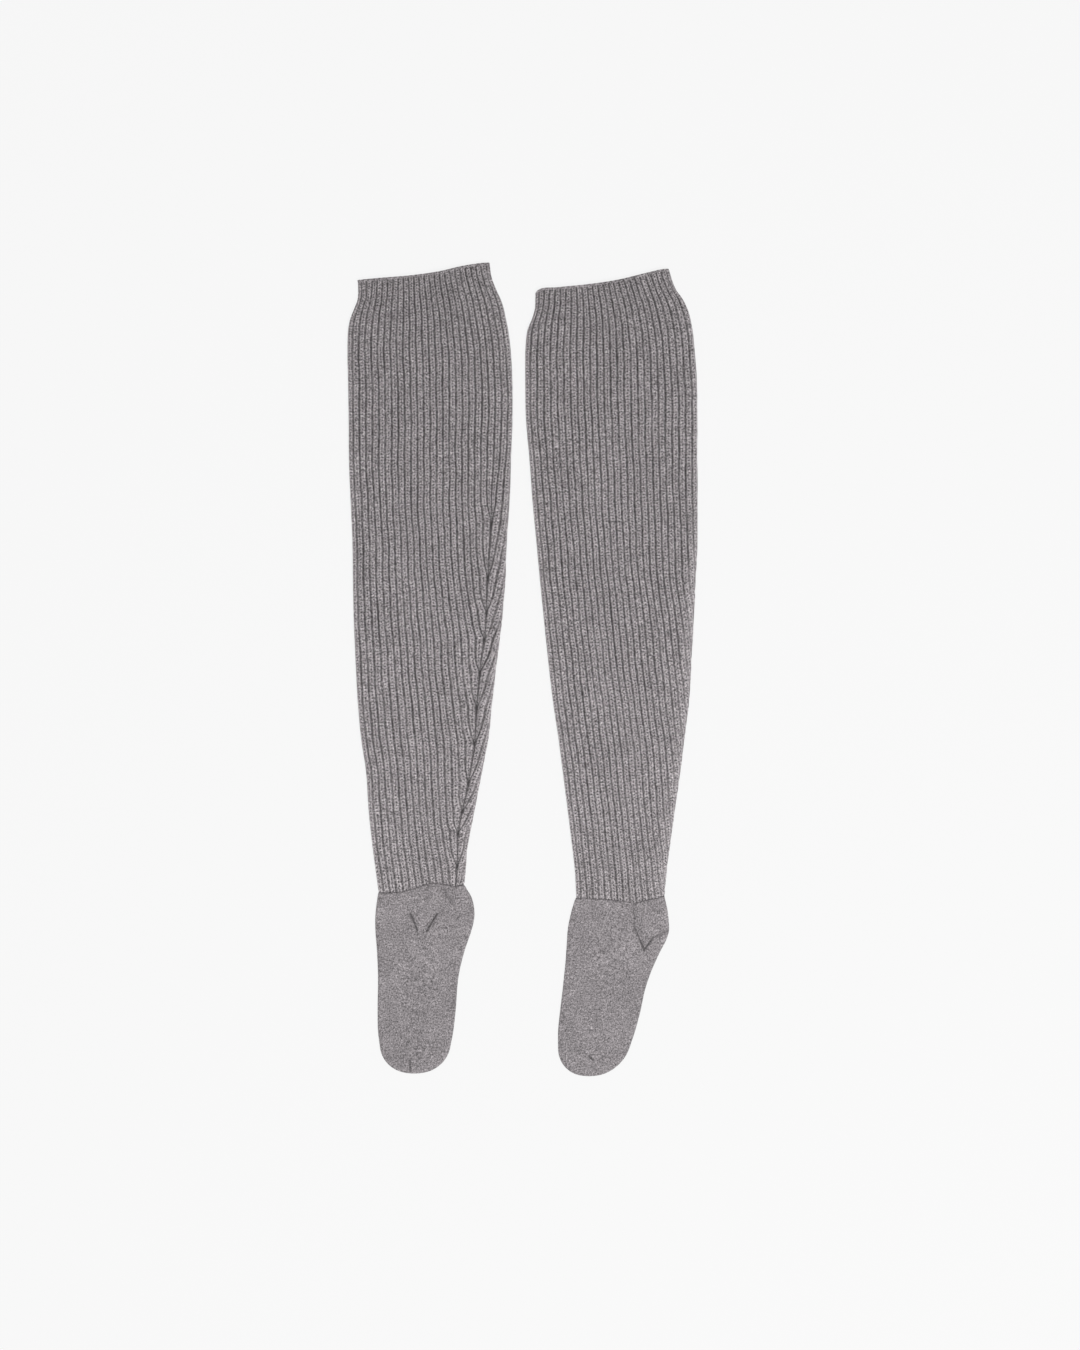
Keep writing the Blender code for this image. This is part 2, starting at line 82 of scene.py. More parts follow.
# Side folds: how far in from the fold a panel has rounded to its full height
FOLD_TOP = 7.0
FOLD_UNDER = 3.0
FOLD_INSIDE = 4.0
FOLD_EASE = 0.45  # how much shallower the valleys are right at a side fold
FOLD_PAINTED_LIGHT = 0.22  # painted light at a side fold: how much lighter the knit is, with less painted shade in its valleys, and below, how far in from the fold it reaches
FOLD_REACH = 8.5
HIDDEN_REACH = 9.0  # how much further in from a fold its painted light reaches where the line is hidden behind it
HIDDEN_FROM = 30.0  # length above the first decrease over which that comes in
TURN_REACH = 22.0  # how far in from a fold the ribs follow its turns at the drawn-in mouth
TURN_STEPS = (-24.0, -12.0, 0.0, 12.0, 24.0)  # places along a fold over which its turns are evened out

# Across one rib: places as a share of its width, each with its height as a share of the rib's depth
RIB_STEPS = ((0.0, 0.0), (0.15, 0.62), (0.34, 1.0), (0.5, 0.82), (0.66, 1.0), (0.85, 0.62))
UNDER_STEPS = ((0.0, 0.0), (0.32, 1.0), (0.68, 1.0))  # for ribs that the underside hides

# Decreases
LINE_PAINTED_SHADE = 0.24  # painted shade along the line between its decreases
LINE_FROM = 12.0  # length above the first decrease over which that comes in
LINE_REACH = 2.2  # how far round the tube from the line its painted shade reaches, and how much further at a decrease
PINCH_REACH = 1.2
PINCH = 7.0  # length either side of a decrease over which the painted shade along the line is deeper
PINCH_BELOW = 1.5  # how far below a decrease the painted shade is deepest
LAST_RUN = 0.95  # how far on from the last decrease the ribs come before the ankle
CLOSING = 22.0  # length over which the ribs beside the line bend to the first decrease
NARROWING = 75.0  # length over which the first pair of ribs narrows to the line
NARROWING_POWER = 1.4
WIDENING = 3.0  # how much wider in all the ribs next to the line are on its far side
WIDENED = 14.0  # distance from the line over which that comes in
LEAN_IN = 60.0  # length above the first decrease over which the line comes to its place

TOP_COURSE = 330.0  # Y of the first level course below the mouth
ANKLE_ROWS = (2.6, 1.9, 1.2, 0.6, 0.2, 0.0)  # last rows of a leg, as lengths above its end
HEEL_ROWS = (0.0, 0.2, 0.6, 1.2, 1.9)  # first rows of a foot, as lengths below its start
TOE_START = -395.0
TOE_POWER = 2.3

# Mesh
FOOT_STEP = 0.85  # spacing of a foot's rows and columns
FOOT_AROUND = 210.0  # length round a foot, for the count of its columns
INSIDE_STEPS = 48  # steps round the plain inside
INSIDE_EVERY = 6  # rows of the outside to each row of the inside, for a leg and for a foot
FOOT_INSIDE_EVERY = 6
TOE_COLUMNS = ((0.6, 1.0), (0.88, 0.5), (1.0, 0.25))  # shares of the toe's turn, and the columns' up to there
NUDGE = 0.15  # length either side of a point over which its outward direction is read

# Linking seam
SEAM_DEPTH = 1.0  # how deep its middle lies under the outside of the foot
SEAM_RADIUS = 0.5
SEAM_STITCH = 2.4
SEAM_SIDES = 6
SEAM_WAIST = 0.7  # how thin the thread is between two stitches, as a share of its radius
SEAM_SHADE = 0.42  # painted shade in the knit beside the seam, and how far that varies along it
SEAM_PATCHES = 0.3
SHADE_ABOVE = 1.3  # lengths above and below the seam over which it is
SHADE_BELOW = 1.0
RIM_PAINTED_SHADE = 0.3  # painted shade on the rim of an open end, where it turns into the hollow
HEM_DROP = 0.5  # how far the jersey's edge dips at the seam, and the length over which it does
HEM_LENGTH = 2.2
HEM_DEPTH = 0.35  # how deep in the knit the hem's rim lies
MOUTH_THIN = 0.6  # how much thinner than the knit the rims of a leg's mouth and ankle are
ANKLE_THIN = 0.8

# Rows of the rim of a mouth: how deep in the knit as a share of it, how far on past the end in the valleys
# and how much more on the ribs, the place in the stitch map, and how far on in the bake map
MOUTH_RIM = ((0.25, 0.35, 0.35, -0.2, 1.0), (0.7, 0.25, 0.3, -0.5, 2.5))

# Where the stitch map counts from, across
UNDER_U = 100.0
LEG_INSIDE_U = 200.0
FOOT_U = 50.0
FOOT_INSIDE_U = 300.0

# Bake map, in millimetres of cloth. middle: where a layer's middle lies in it. lowest: Y of its lower edge
BAKE_SIDE = 690.0
Layer = namedtuple("Layer", "middle lowest scale")
LEG_OUTSIDE = Layer(97.0, -258.0, 1.0)
LEG_INSIDE = Layer(446.0, -258.0, 0.7)
FOOT_OUTSIDE = Layer(127.0, -432.0, 2.3)
FOOT_INSIDE = Layer(548.0, -432.0, 0.85)
RIM_LAY = 2.5  # width of the band of rim faces beside the inside's, and its share of a stitch
RIM_STITCH = 0.3
RIM_WIDTH = 1.5  # width in the bake map of the rim faces at the ankle

# Looks
RIB_TINT = (0.374, 0.345, 0.356)
JERSEY_TINT = (0.311, 0.287, 0.297)
# the linking thread's near-black tint is painted shade of the parting that it lies in
SEAM_PAINTED_SHADE_TINT = (0.075, 0.068, 0.071)
FLOOR_GLOW = 0.852
FLOOR_DROP = -0.15
FLOOR_HALF = 60.0  # metres
SKY = 0.64
LAMP = 52.0
DARK_REACH = 0.9  # share of a crease's reach that its shade has
DARKEST = 0.12  # share of its tint that the knit keeps in its darkest places

# Camera, straight above, in millimetres
VIEW_CENTRE = (18.4, -5.6)
VIEW_HEIGHT = 1417.5
LENS = 85.0
SENSOR = 36.0

# How the ribs beside the line bend to it. free: how many ribs more would fit, just below a decrease. pull:
# how many ribs back from the line its tug fades to a third. power: how close to a decrease they bend.
Bend = namedtuple("Bend", "free pull power")
NEAR_BEND = Bend(0.50, 0.9, 1.8)
FAR_BEND = Bend(0.35, 0.8, 1.3)

Edge = namedtuple("Edge", "y left right")
Place = namedtuple("Place", "x y")
# dark: how deep the painted shade in a crease is
Crease = namedtuple("Crease", "x0 y0 x1 y1 depth reach dark", defaults=(0.0,))
Swell = namedtuple("Swell", "x y reach rise")

# wall: thickness of the plain knit. middle: height of the middle of the hollow. height: how far the top
# stands over it. fullness: how much more it does along its middle. unevenness: how far it rises and falls.
Form = namedtuple("Form", "wall middle height fullness unevenness")
LEG_FORM = Form(1.8, 2.2, 3.0, 0.6, 0.22)
FOOT_FORM = Form(1.5, 1.9, 1.9, 0.8, 0.16)

# ribs_top, ribs_under: ribs from the left fold to the line, over the top and along the underside. top_fits:
# ribs across the top panel. fine_from: first rib of the underside with all its columns. hidden_line: how far
# round the right fold the line lies where it doesn't show.
Leg = namedtuple("Leg", "name edges mouth ankle ribs_top ribs_under top_fits fine_from decreases line"
                        " hidden_line creases dents seed swells form", defaults=((), LEG_FORM))
Foot = namedtuple("Foot", "name edges ankle toe_depth swells creases dents seed form", defaults=(FOOT_FORM,))


def table(kind, *rows):
    """Rows of numbers as a kind of named tuple."""
    return tuple(kind(*row) for row in rows)


LEFT_ANKLE = table(
    Place, (-151.5, -233.7), (-130, -233.6), (-116.5, -230.4), (-108, -227.6), (-96, -224.4), (-84, -225),
    (-71, -227.3), (-61, -225.8),
)
RIGHT_ANKLE = table(
    Place, (56, -239.8), (86, -241.2), (101, -242.4), (110, -243.4), (116, -244.8), (127, -242.5),
    (141, -239.8), (150, -237),
)

LEFT_LEG = Leg(
    name="leg_left",
    edges=table(
        Edge, (426, -173.8, -34), (412, -173.6, -32), (398, -173, -27), (388, -173.6, -22.4),
        (378, -177.3, -19.2), (368, -181.2, -17), (356, -183.6, -14.5), (340, -184.3, -12.4),
        (304, -183.8, -10.1), (262, -183.1, -9.9), (220, -182.8, -11.5), (178, -181.1, -13.2),
        (136, -179.2, -16), (94, -178.6, -17.6), (52, -177.7, -21), (10, -175.9, -26.2),
        (-32, -173.7, -31.1), (-74, -169.8, -35.6), (-106, -165, -41.7), (-148, -162.1, -49.8),
        (-190, -157.5, -57.6), (-211, -154.7, -59.3), (-234, -151.5, -61.4),
    ),
    mouth=table(
        Place, (-174, 408), (-149, 410.3), (-117, 412.9), (-86, 417.4), (-65, 422.4), (-44, 425.8),
        (-34, 426.5),
    ),
    ankle=LEFT_ANKLE,
    ribs_top=23,
    ribs_under=29,
    top_fits=26,
    fine_from=15,
    decreases=(154, 98, 61.5, 33, -1.5, -38, -76, -117, -147, -170, -205),
    line=table(
        Place, (-33, 154), (-36.2, 98), (-37.4, 61.5), (-40, 33), (-44.8, -1.5), (-47.4, -38), (-50.2, -76),
        (-56.4, -117), (-62.6, -147), (-67, -170), (-69, -205), (-70, -228),
    ),
    hidden_line=0.0,
    creases=table(
        Crease, (-160, 322, -128, 300, 0.5, 17), (-52, 236, -86, 214, 0.35, 15),
        (-168, 96, -139, 84, 0.3, 14), (-74, -96, -104, -118, 0.35, 13), (-148, -176, -124, -190, 0.45, 11),
    ),
    dents=table(
        Crease, (-150, 282, -112, 300, 0.5, 16), (-60, 120, -98, 137, 0.4, 15),
        (-152, -60, -122, -46, 0.45, 14), (-84, -180, -108, -193, 0.5, 12),
    ),
    seed=23.0,
)

RIGHT_LEG = Leg(
    name="leg_right",
    edges=table(
        Edge, (420, 13.6, 153.8), (406, 13.6, 157.6), (396, 13.2, 162.4), (388, 12.8, 168.7),
        (378, 12.3, 173.7), (368, 9.5, 176.7), (356, 4.6, 179), (340, 2.6, 180.6), (304, 2.2, 183.4),
        (262, 3, 184.1), (220, 6.7, 184), (178, 9.7, 184.3), (136, 13.7, 184), (94, 17.6, 182.1),
        (52, 21.8, 180.2), (10, 26.2, 177.7), (-32, 31.1, 175.4), (-74, 37.3, 170.2), (-106, 41.4, 166.3),
        (-148, 46.8, 160.3), (-190, 52, 154.5), (-211, 54.3, 151.8), (-240, 55.8, 149.2),
    ),
    mouth=table(
        Place, (13.4, 395), (16.2, 397.6), (37, 400.4), (68, 403.5), (100, 408.3), (131, 415.8),
        (148, 419.6), (154, 420),
    ),
    ankle=RIGHT_ANKLE,
    ribs_top=27,
    ribs_under=25,
    top_fits=26,
    fine_from=25,
    decreases=(99, 67, 27, -13, -46.5, -74, -103, -139, -166, -193.5, -221),
    line=None,
    hidden_line=6.7,
    creases=table(
        Crease, (164, 338, 131, 318, 0.55, 17), (24, 252, 55, 231, 0.35, 15), (168, 112, 138, 97, 0.3, 15),
        (46, -82, 74, -102, 0.35, 13), (140, -196, 116, -211, 0.45, 11),
    ),
    dents=table(
        Crease, (36, 300, 78, 283, 0.5, 16), (150, 150, 112, 166, 0.4, 15), (58, -30, 88, -44, 0.45, 14),
        (128, -176, 102, -190, 0.5, 12),
    ),
    seed=27.0,
)

LEFT_FOOT = Foot(
    name="foot_left",
    edges=table(
        Edge, (-225, -152, -61), (-230, -151.6, -58.6), (-236, -151.7, -54.8), (-242, -152.6, -52.3),
        (-255, -154.1, -50.3), (-263, -154.5, -50.9), (-274, -154.3, -53.6), (-295, -152.7, -60.7),
        (-321, -151.6, -66.9), (-358, -152, -70.1), (-379, -151.6, -72.5), (TOE_START, -149.7, -75.5),
    ),
    ankle=LEFT_ANKLE,
    toe_depth=28.8,
    swells=table(
        Swell, (-86, -252, 34, 1.6), (-112, -318, 40, 0.5), (-112, -396, 26, 0.6),
    ),
    creases=table(
        Crease, (-117, -257, -110.5, -273, 1.9, 2, 0.9), (-120, -250, -111, -279, 0.8, 8, 0.12),
        (-89.5, -256, -100.5, -274, 2, 2.1, 1), (-86, -250, -104, -281, 0.8, 8, 0.15),
        (-84, -231, -73.5, -243, 1, 5, 0.35), (-118, -410, -118, -421, 1.1, 2, 0.75),
    ),
    dents=table(
        Crease, (-122, -262, -112, -281, 0.6, 6), (-78, -262, -98, -277, 0.6, 6.5),
        (-92, -330, -120, -338, 0.35, 10),
    ),
    seed=4.0,
)

RIGHT_FOOT = Foot(
    name="foot_right",
    edges=table(
        Edge, (-236.5, 55.7, 149.5), (-240, 55.3, 149.6), (-251, 52.1, 152), (-265.5, 48.7, 153.6),
        (-274, 47.4, 153.8), (-284, 46.7, 150.7), (-295, 46, 145), (-305, 45.3, 140.2), (-321, 43.7, 133.5),
        (-337, 42, 128.4), (-358, 39.5, 123.9), (-379, 37.4, 118.3), (TOE_START, 37.3, 113),
    ),
    ankle=RIGHT_ANKLE,
    toe_depth=31.6,
    swells=table(
        Swell, (132, -262, 30, 1.6), (92, -300, 38, 0.6), (76, -395, 26, 0.6),
    ),
    creases=table(
        Crease, (116.8, -246, 117.5, -270, 1, 2.2, 0.45), (117.5, -270, 124.3, -286, 1.6, 2, 0.85),
        (124.3, -286, 127.5, -294, 2.1, 2.2, 1), (127.5, -294, 137, -281, 1.7, 2, 0.85),
        (137, -281, 153, -274, 1.1, 2.6, 0.4), (118, -262, 128, -296, 0.8, 9, 0.15),
        (69.8, -405, 74.5, -410, 1, 2, 0.8),
    ),
    dents=table(
        Crease, (112, -258, 122, -284, 0.6, 6), (122, -284, 141, -274, 0.6, 6.5),
        (66, -334, 94, -341, 0.35, 10),
    ),
    seed=9.0,
)


def follow(places, at):
    """Smooth curve through (position, value) pairs, read at positions, straight past either end."""
    positions, values = np.array(sorted(places), float).T
    steps = np.diff(values) / np.diff(positions)
    slopes = np.concatenate((steps[:1], (steps[:-1] + steps[1:]) / 2, steps[-1:]))
    at = np.asarray(at, float)
    left = np.clip(np.searchsorted(positions, at) - 1, 0, len(positions) - 2)
    right = left + 1
    span = positions[right] - positions[left]
    run = (at - positions[left]) / span
    t = np.clip(run, 0.0, 1.0)
    rise = values[right] - values[left]
    inside = (values[left] + rise * t * t * (3 - 2 * t)
              + span * t * (1 - t) * (slopes[left] * (1 - t) - slopes[right] * t))
    return inside + (run - t) * span * np.where(run < 0, slopes[left], slopes[right])


def ease(value):
    value = np.clip(value, 0.0, 1.0)
    return value * value * (3.0 - 2.0 * value)


def rounding(inward, reach):
    """Share of a panel's full height at a distance in from its fold: a quarter of an ellipse."""
    return np.sqrt(np.clip(1.0 - (1.0 - np.clip(inward / reach, 0.0, 1.0)) ** 2, 0.0, 1.0))


def hump(distance, reach):
    """1 at no distance, falling smoothly to 0 at the reach."""
    return (1.0 - np.clip(distance / reach, 0.0, 1.0) ** 2) ** 2


def distance_to(crease, x, y):
    """Distance from points to a crease's run."""
    run_x = crease.x1 - crease.x0
    run_y = crease.y1 - crease.y0
    share = ((x - crease.x0) * run_x + (y - crease.y0) * run_y) / (run_x ** 2 + run_y ** 2)
    share = np.clip(share, 0.0, 1.0)
    return np.hypot(x - crease.x0 - share * run_x, y - crease.y0 - share * run_y)


def waves(rows, first, second=0.0, seed=1.0):
    """The sum of a table of waves, at places along its two directions."""
    return sum(share * np.sin(first / along_first + second / along_second + turn * seed)
               for share, along_first, along_second, turn in rows)


def pairs(first, second):
    """Rows of two numbers, from two rows of numbers or from one and a number that all of it shares."""
    return np.stack(np.broadcast_arrays(first, second), 1)


def placed(name, data):
    """A new object in the scene."""
    thing = bpy.data.objects.new(name, data)
    bpy.context.scene.collection.objects.link(thing)
    return thing


class Sides:
    """The two side folds of a piece, moved in by an inset."""

    def __init__(self, edges, inset=0.0):
        self.lefts = [(edge.y, edge.left) for edge in edges]
        self.rights = [(edge.y, edge.right) for edge in edges]
        self.inset = inset

    def left(self, y):
        return follow(self.lefts, y) + self.inset

    def right(self, y):
        return follow(self.rights, y) - self.inset

    def inward(self, x, y):
        return np.maximum(0.0, np.minimum(x - self.left(y), self.right(y) - x))


class FootSides(Sides):
    """The side folds of a foot. Below the toe's start they run on, drawn in to each other in a round."""

    def __init__(self, foot, inset=0.0):
        super().__init__(foot.edges, inset)
        self.depth = foot.toe_depth - inset

    def down(self, y):
        return np.clip((TOE_START - y) / self.depth, 0.0, 1.0)

    def centre(self, y):
        return (super().left(y) + super().right(y)) / 2

    def half(self, y):
        return (super().right(y) - super().left(y)) / 2

    def drawn(self, y):
        """Half the width, drawn in down the toe."""
        return self.half(y) * (1.0 - self.down(y) ** TOE_POWER) ** (1 / TOE_POWER)

    def left(self, y):
        return self.centre(y) - self.drawn(y)

    def right(self, y):
        return self.centre(y) + self.drawn(y)

    def inward(self, x, y):
        down = self.down(y)
        half = self.half(y)
        sideways = np.abs(x - self.centre(y)) / half
        share = np.maximum(1e-6, (sideways ** TOE_POWER + down ** TOE_POWER) ** (1 / TOE_POWER))
        run = np.hypot(sideways * half, down * self.depth)
        in_toe = np.maximum(0.0, run / share - run)
        return np.where(y >= TOE_START, super().inward(x, y), in_toe)


def meet(side, curve):
    """X at which a course meets a side fold."""
    x = side(curve(0.0))
    for _ in range(8):
        x = side(curve(x))
    return float(x)


class Section:
    """The outline of a tube at one course, a closed path: over the top from the left fold, then back under.

    It is the tube's outside or its inside. Its underside runs straight from fold to fold, or along the top's
    curve.
    """

    STEPS = 200

    def __init__(self, piece, sides, curve, inside=False, along_top=False):
        self.left = meet(sides.left, curve)
        self.right = meet(sides.right, curve)
        width = self.right - self.left
        turn = np.linspace(0.0, math.pi, self.STEPS + 1)
        x = self.left + width * (1.0 - np.cos(turn)) / 2
        top_y = curve(x) + 0.0 * x
        under_y = curve(self.left) + (curve(self.right) - curve(self.left)) * (x - self.left) / width
        if along_top:
            under_y = top_y
        inward = sides.inward(x, top_y)
        inward[0] = 0.0
        inward[-1] = 0.0
        rise = lift(piece, x, top_y, (x - self.left) / width)
        middle = piece.form.middle
        if inside:
            top_z = middle + (PANEL_GAP / 2 + np.maximum(0.0, rise)) * rounding(inward, FOLD_INSIDE)
            under_z = middle - PANEL_GAP / 2 * rounding(inward, FOLD_INSIDE)
        else:
            top_z = middle + (piece.form.height + rise) * rounding(inward, FOLD_TOP)
            under_z = middle - (middle - dents(piece.dents, x, under_y)) * rounding(inward, FOLD_UNDER)
        self.x = np.concatenate((x, x[-2::-1]))
        self.y = np.concatenate((top_y, under_y[-2::-1]))
        self.z = np.concatenate((top_z, under_z[-2::-1]))
        self.arc = np.concatenate(([0.0], np.cumsum(np.hypot(np.diff(self.x), np.diff(self.z)))))
        self.top_length = self.arc[self.STEPS]
        self.length = self.arc[-1]

    def at(self, arcs):
        """Points of the path at lengths along it, and the outward directions there."""
        after = np.mod(arcs + NUDGE, self.length)
        before = np.mod(arcs - NUDGE, self.length)
        run_x = np.interp(after, self.arc, self.x) - np.interp(before, self.arc, self.x)
        run_z = np.interp(after, self.arc, self.z) - np.interp(before, self.arc, self.z)
        size = np.hypot(run_x, run_z)
        places = np.stack([np.interp(arcs, self.arc, values) for values in (self.x, self.y, self.z)], 1)
        return places, np.stack((-run_z / size, 0.0 * arcs, run_x / size), 1)

    def arc_at_x(self, x):
        """Length along the top at which the path reaches an X."""
        return float(np.interp(x, self.x[:self.STEPS + 1], self.arc[:self.STEPS + 1]))


class Shell:
    """A closed mesh gathered row by row, with two UV maps: one counts stitches, the other is for baking.

    Each point also has its painted shade: up to 1 deep in a tight fold; under 0 it is painted light, where
    the ribs open out.
    """

    def __init__(self):
        self.points = []
        self.painted_shade = []
        self.count = 0
        self.faces = []
        self.knit = []
        self.bake = []

    def add(self, points, painted_shade):
        self.points.append(points)
        self.painted_shade.append(painted_shade)
        first = self.count
        self.count += len(points)
        return np.arange(first, self.count)

    def face(self, corners):
        """A face from (vertex, knit UV, bake UV) corners. A corner met twice is left out."""
        kept = []
        for corner in corners:
            if all(corner[0] != other[0] for other in kept):
                kept.append(corner)
        if len(kept) > 2:
            self.faces.append([corner[0] for corner in kept])
            self.knit.extend(corner[1] for corner in kept)
            self.bake.extend(corner[2] for corner in kept)

    def strip(self, upper, lower):
        """Faces between two rows with the same columns."""
        above = upper.corners()
        below = lower.corners()
        for i in range(len(above) - 1):
            self.face((above[i], below[i], below[i + 1], above[i + 1]))

    def stitch(self, upper, lower):
        """Faces between two rows with different columns, stepping along the row that is behind."""
        above = upper.corners()
        below = lower.corners()
        a = 0
        b = 0
        while a < len(above) - 1 or b < len(below) - 1:
            next_a = upper.across[a + 1] if a < len(above) - 1 else math.inf
            next_b = lower.across[b + 1] if b < len(below) - 1 else math.inf
            if next_a <= next_b:
                self.face((above[a], below[b], above[a + 1]))
                a += 1
            else:
                self.face((above[a], below[b], below[b + 1]))
                b += 1

    def join(self, upper, lower):
        """Faces between two rows, with the same columns or not."""
        if len(upper.vertices) == len(lower.vertices):
            self.strip(upper, lower)
        else:
            self.stitch(upper, lower)

    def finish(self, name):
        mesh = bpy.data.meshes.new(name)
        mesh.from_pydata((np.concatenate(self.points) * MM).tolist(), [], self.faces)
        for layer_name, values in (("Knit", self.knit), ("OFBake", self.bake)):
            layer = mesh.uv_layers.new(name=layer_name, do_init=False)
            layer.data.foreach_set("uv", np.asarray(values, np.float32).ravel())
        # each point's painted shade, for the knit's colour; below 0 it is painted light
        painted_shade = mesh.attributes.new(name="PaintedShade", type="FLOAT", domain="POINT")
        painted_shade.data.foreach_set("value", np.concatenate(self.painted_shade).astype(np.float32))
        mesh.uv_layers.active = mesh.uv_layers["Knit"]
        mesh.uv_layers["Knit"].active_render = True
        mesh.shade_smooth()
        return placed(name, mesh)


class Row(namedtuple("Row", "vertices knit bake across")):
    """One row of a shell: its vertices in order round the tube, their UVs and shares of the way round."""

    def corners(self):
        return list(zip(self.vertices.tolist(), self.knit.tolist(), self.bake.tolist()))

    def spread(self, source, knit_u):
        """The same row with some columns given more than once, as the row above it counts them."""
        knit = pairs(knit_u, self.knit[source, 1])
        return Row(self.vertices[source], knit, self.bake[source], self.across[source])


def laid_by(row, other, rise):
    """The same row with its maps laid along another row's, for the faces that join the two."""
    knit_u = np.interp(row.across, other.across, other.knit[:, 0])
    bake_u = np.interp(row.across, other.across, other.bake[:, 0])
    knit = pairs(knit_u, other.knit[0, 1] - RIM_STITCH * rise / RIM_LAY)
    return Row(row.vertices, knit, pairs(bake_u, other.bake[0, 1] + rise / BAKE_SIDE), row.across)


def ring(shell, places, twin=None, painted_shade=0.0):
    """Vertices of a closed row. Its last column is its first again, and twin repeats the one before it."""
    number = np.arange(len(places))
    if twin is not None:
        number[twin:] -= 1
    number[-1] = 0
    first = np.unique(number, return_index=True)[1]
    return shell.add(places[first], np.broadcast_to(painted_shade, number.shape)[first])[number]


def row_of(shell, section, places, arcs, knit_u, knit_v, layer, y, twin=None, painted_shade=0.0):
    """Adds a row of vertices."""
    bake_u = (arcs - section.top_length / 2) * layer.scale + layer.middle
    bake = pairs(bake_u, (y - layer.lowest) * layer.scale) / BAKE_SIDE
    return Row(ring(shell, places, twin, painted_shade), pairs(knit_u, knit_v), bake, arcs / section.length)


def inside_row(shell, section, steps, first_u, stitch_width, knit_v, layer, y):
    """Adds a row of the plain inside."""
    arcs = np.linspace(0.0, section.length, steps + 1)
    knit_u = first_u + arcs / stitch_width
    return row_of(shell, section, section.at(arcs)[0], arcs, knit_u, knit_v, layer, y)


def rim_row(shell, row, places, outward, depth, on, knit_v, bake_v, twin=None):
    """Adds a row of the rounded rim of an open end: in from the outside by a depth, and on past the end."""
    at = places - outward * np.broadcast_to(depth, len(places))[:, None]
    at[:, 1] += on
    knit = pairs(row.knit[:, 0], knit_v)
    bake = pairs(row.bake[:, 0], bake_v / BAKE_SIDE)
    # the rim gets painted shade, as it turns into the open end
    return Row(ring(shell, at, twin, RIM_PAINTED_SHADE), knit, bake, row.across)


def dents(creases, x, y):
    """How deep creases press a panel in, at points."""
    deep = [crease.depth * hump(distance_to(crease, x, y), crease.reach) for crease in creases]
    return np.maximum.reduce(deep)


def lift(piece, x, y, across):
    """How far a piece's top panel stands over a level one."""
    rise = piece.form.fullness * 4 * across * (1 - across)
    rise = rise + piece.form.unevenness * waves(UNEVEN_WAVES, x, y, piece.seed)
    for swell in piece.swells:
        rise = rise + swell.rise * hump(np.hypot(x - swell.x, y - swell.y), swell.reach)
    return rise - dents(piece.creases, x, y)


def painted_seam_shade(arcs, short, long, turn):
    """Painted shade beside the ankle's seam, uneven along it."""
    return SEAM_SHADE + SEAM_PATCHES * np.sin(arcs / short + turn) * np.sin(arcs / long)


def mean_y(places):
    return float(np.mean([place.y for place in places]))


def nearing(y, start, length):
    """How near a Y has come to a start from above: 0 at a length above it, 1 at it and below."""
    return float(ease((start + length - y) / length))


# Ribbed legs

def decrease_reach(v, bend):
    """How far a valley is drawn towards the line, by how many ribs from it the valley is."""
    ahead = bend.free * np.exp(-v / bend.pull) * np.abs(1.0 - 2.0 * (v - np.floor(v))) ** bend.power
    return np.where(v <= 0.0, bend.free + v, ahead)


def valleys(ribs, run, length, closing, stray, bend):
    """Places of the valleys of one group of ribs, from the left fold to the line at the given length.

    run is how far the group is on from one decrease to the next, from 0 to 1. Before the first decrease,
    closing is how far its bend and its narrowing have come, and run isn't used. stray moves the valleys a
    little off their even places. bend is how the ribs bend to the line.
    """
    left = ribs - np.arange(ribs + 1)
    if closing is None:
        drawn = decrease_reach(left - run, bend)
    else:
        bent, narrowing = closing
        drawn = np.where(left > 0, bent * decrease_reach(left - 1.0, bend), -(1.0 - bend.free) * narrowing)
    places = np.arange(ribs + 1) + drawn
    places = places * length / places[-1]
    widths = np.diff(places)
    room = np.minimum(np.append(widths, 0.0), np.insert(widths, 0, 0.0))
    return places + stray * np.minimum(1.0, room / CALM_WIDTH) * np.sign(left) * np.sign(np.arange(ribs + 1))


def stray(ribs, y, seed):
    """How far each valley strays sideways at a Y. A valley keeps its own course down the leg."""
    return STRAY * waves(STRAY_WAVES, y, seed=np.arange(ribs + 1) + seed)


def widened(places, share):
    """The underside's valleys, with the ribs next to the line wider."""
    back = places[-1] - places
    return places - WIDENING * share * (1.0 - np.exp(-back / WIDENED)) * (1.0 - back / places[-1])


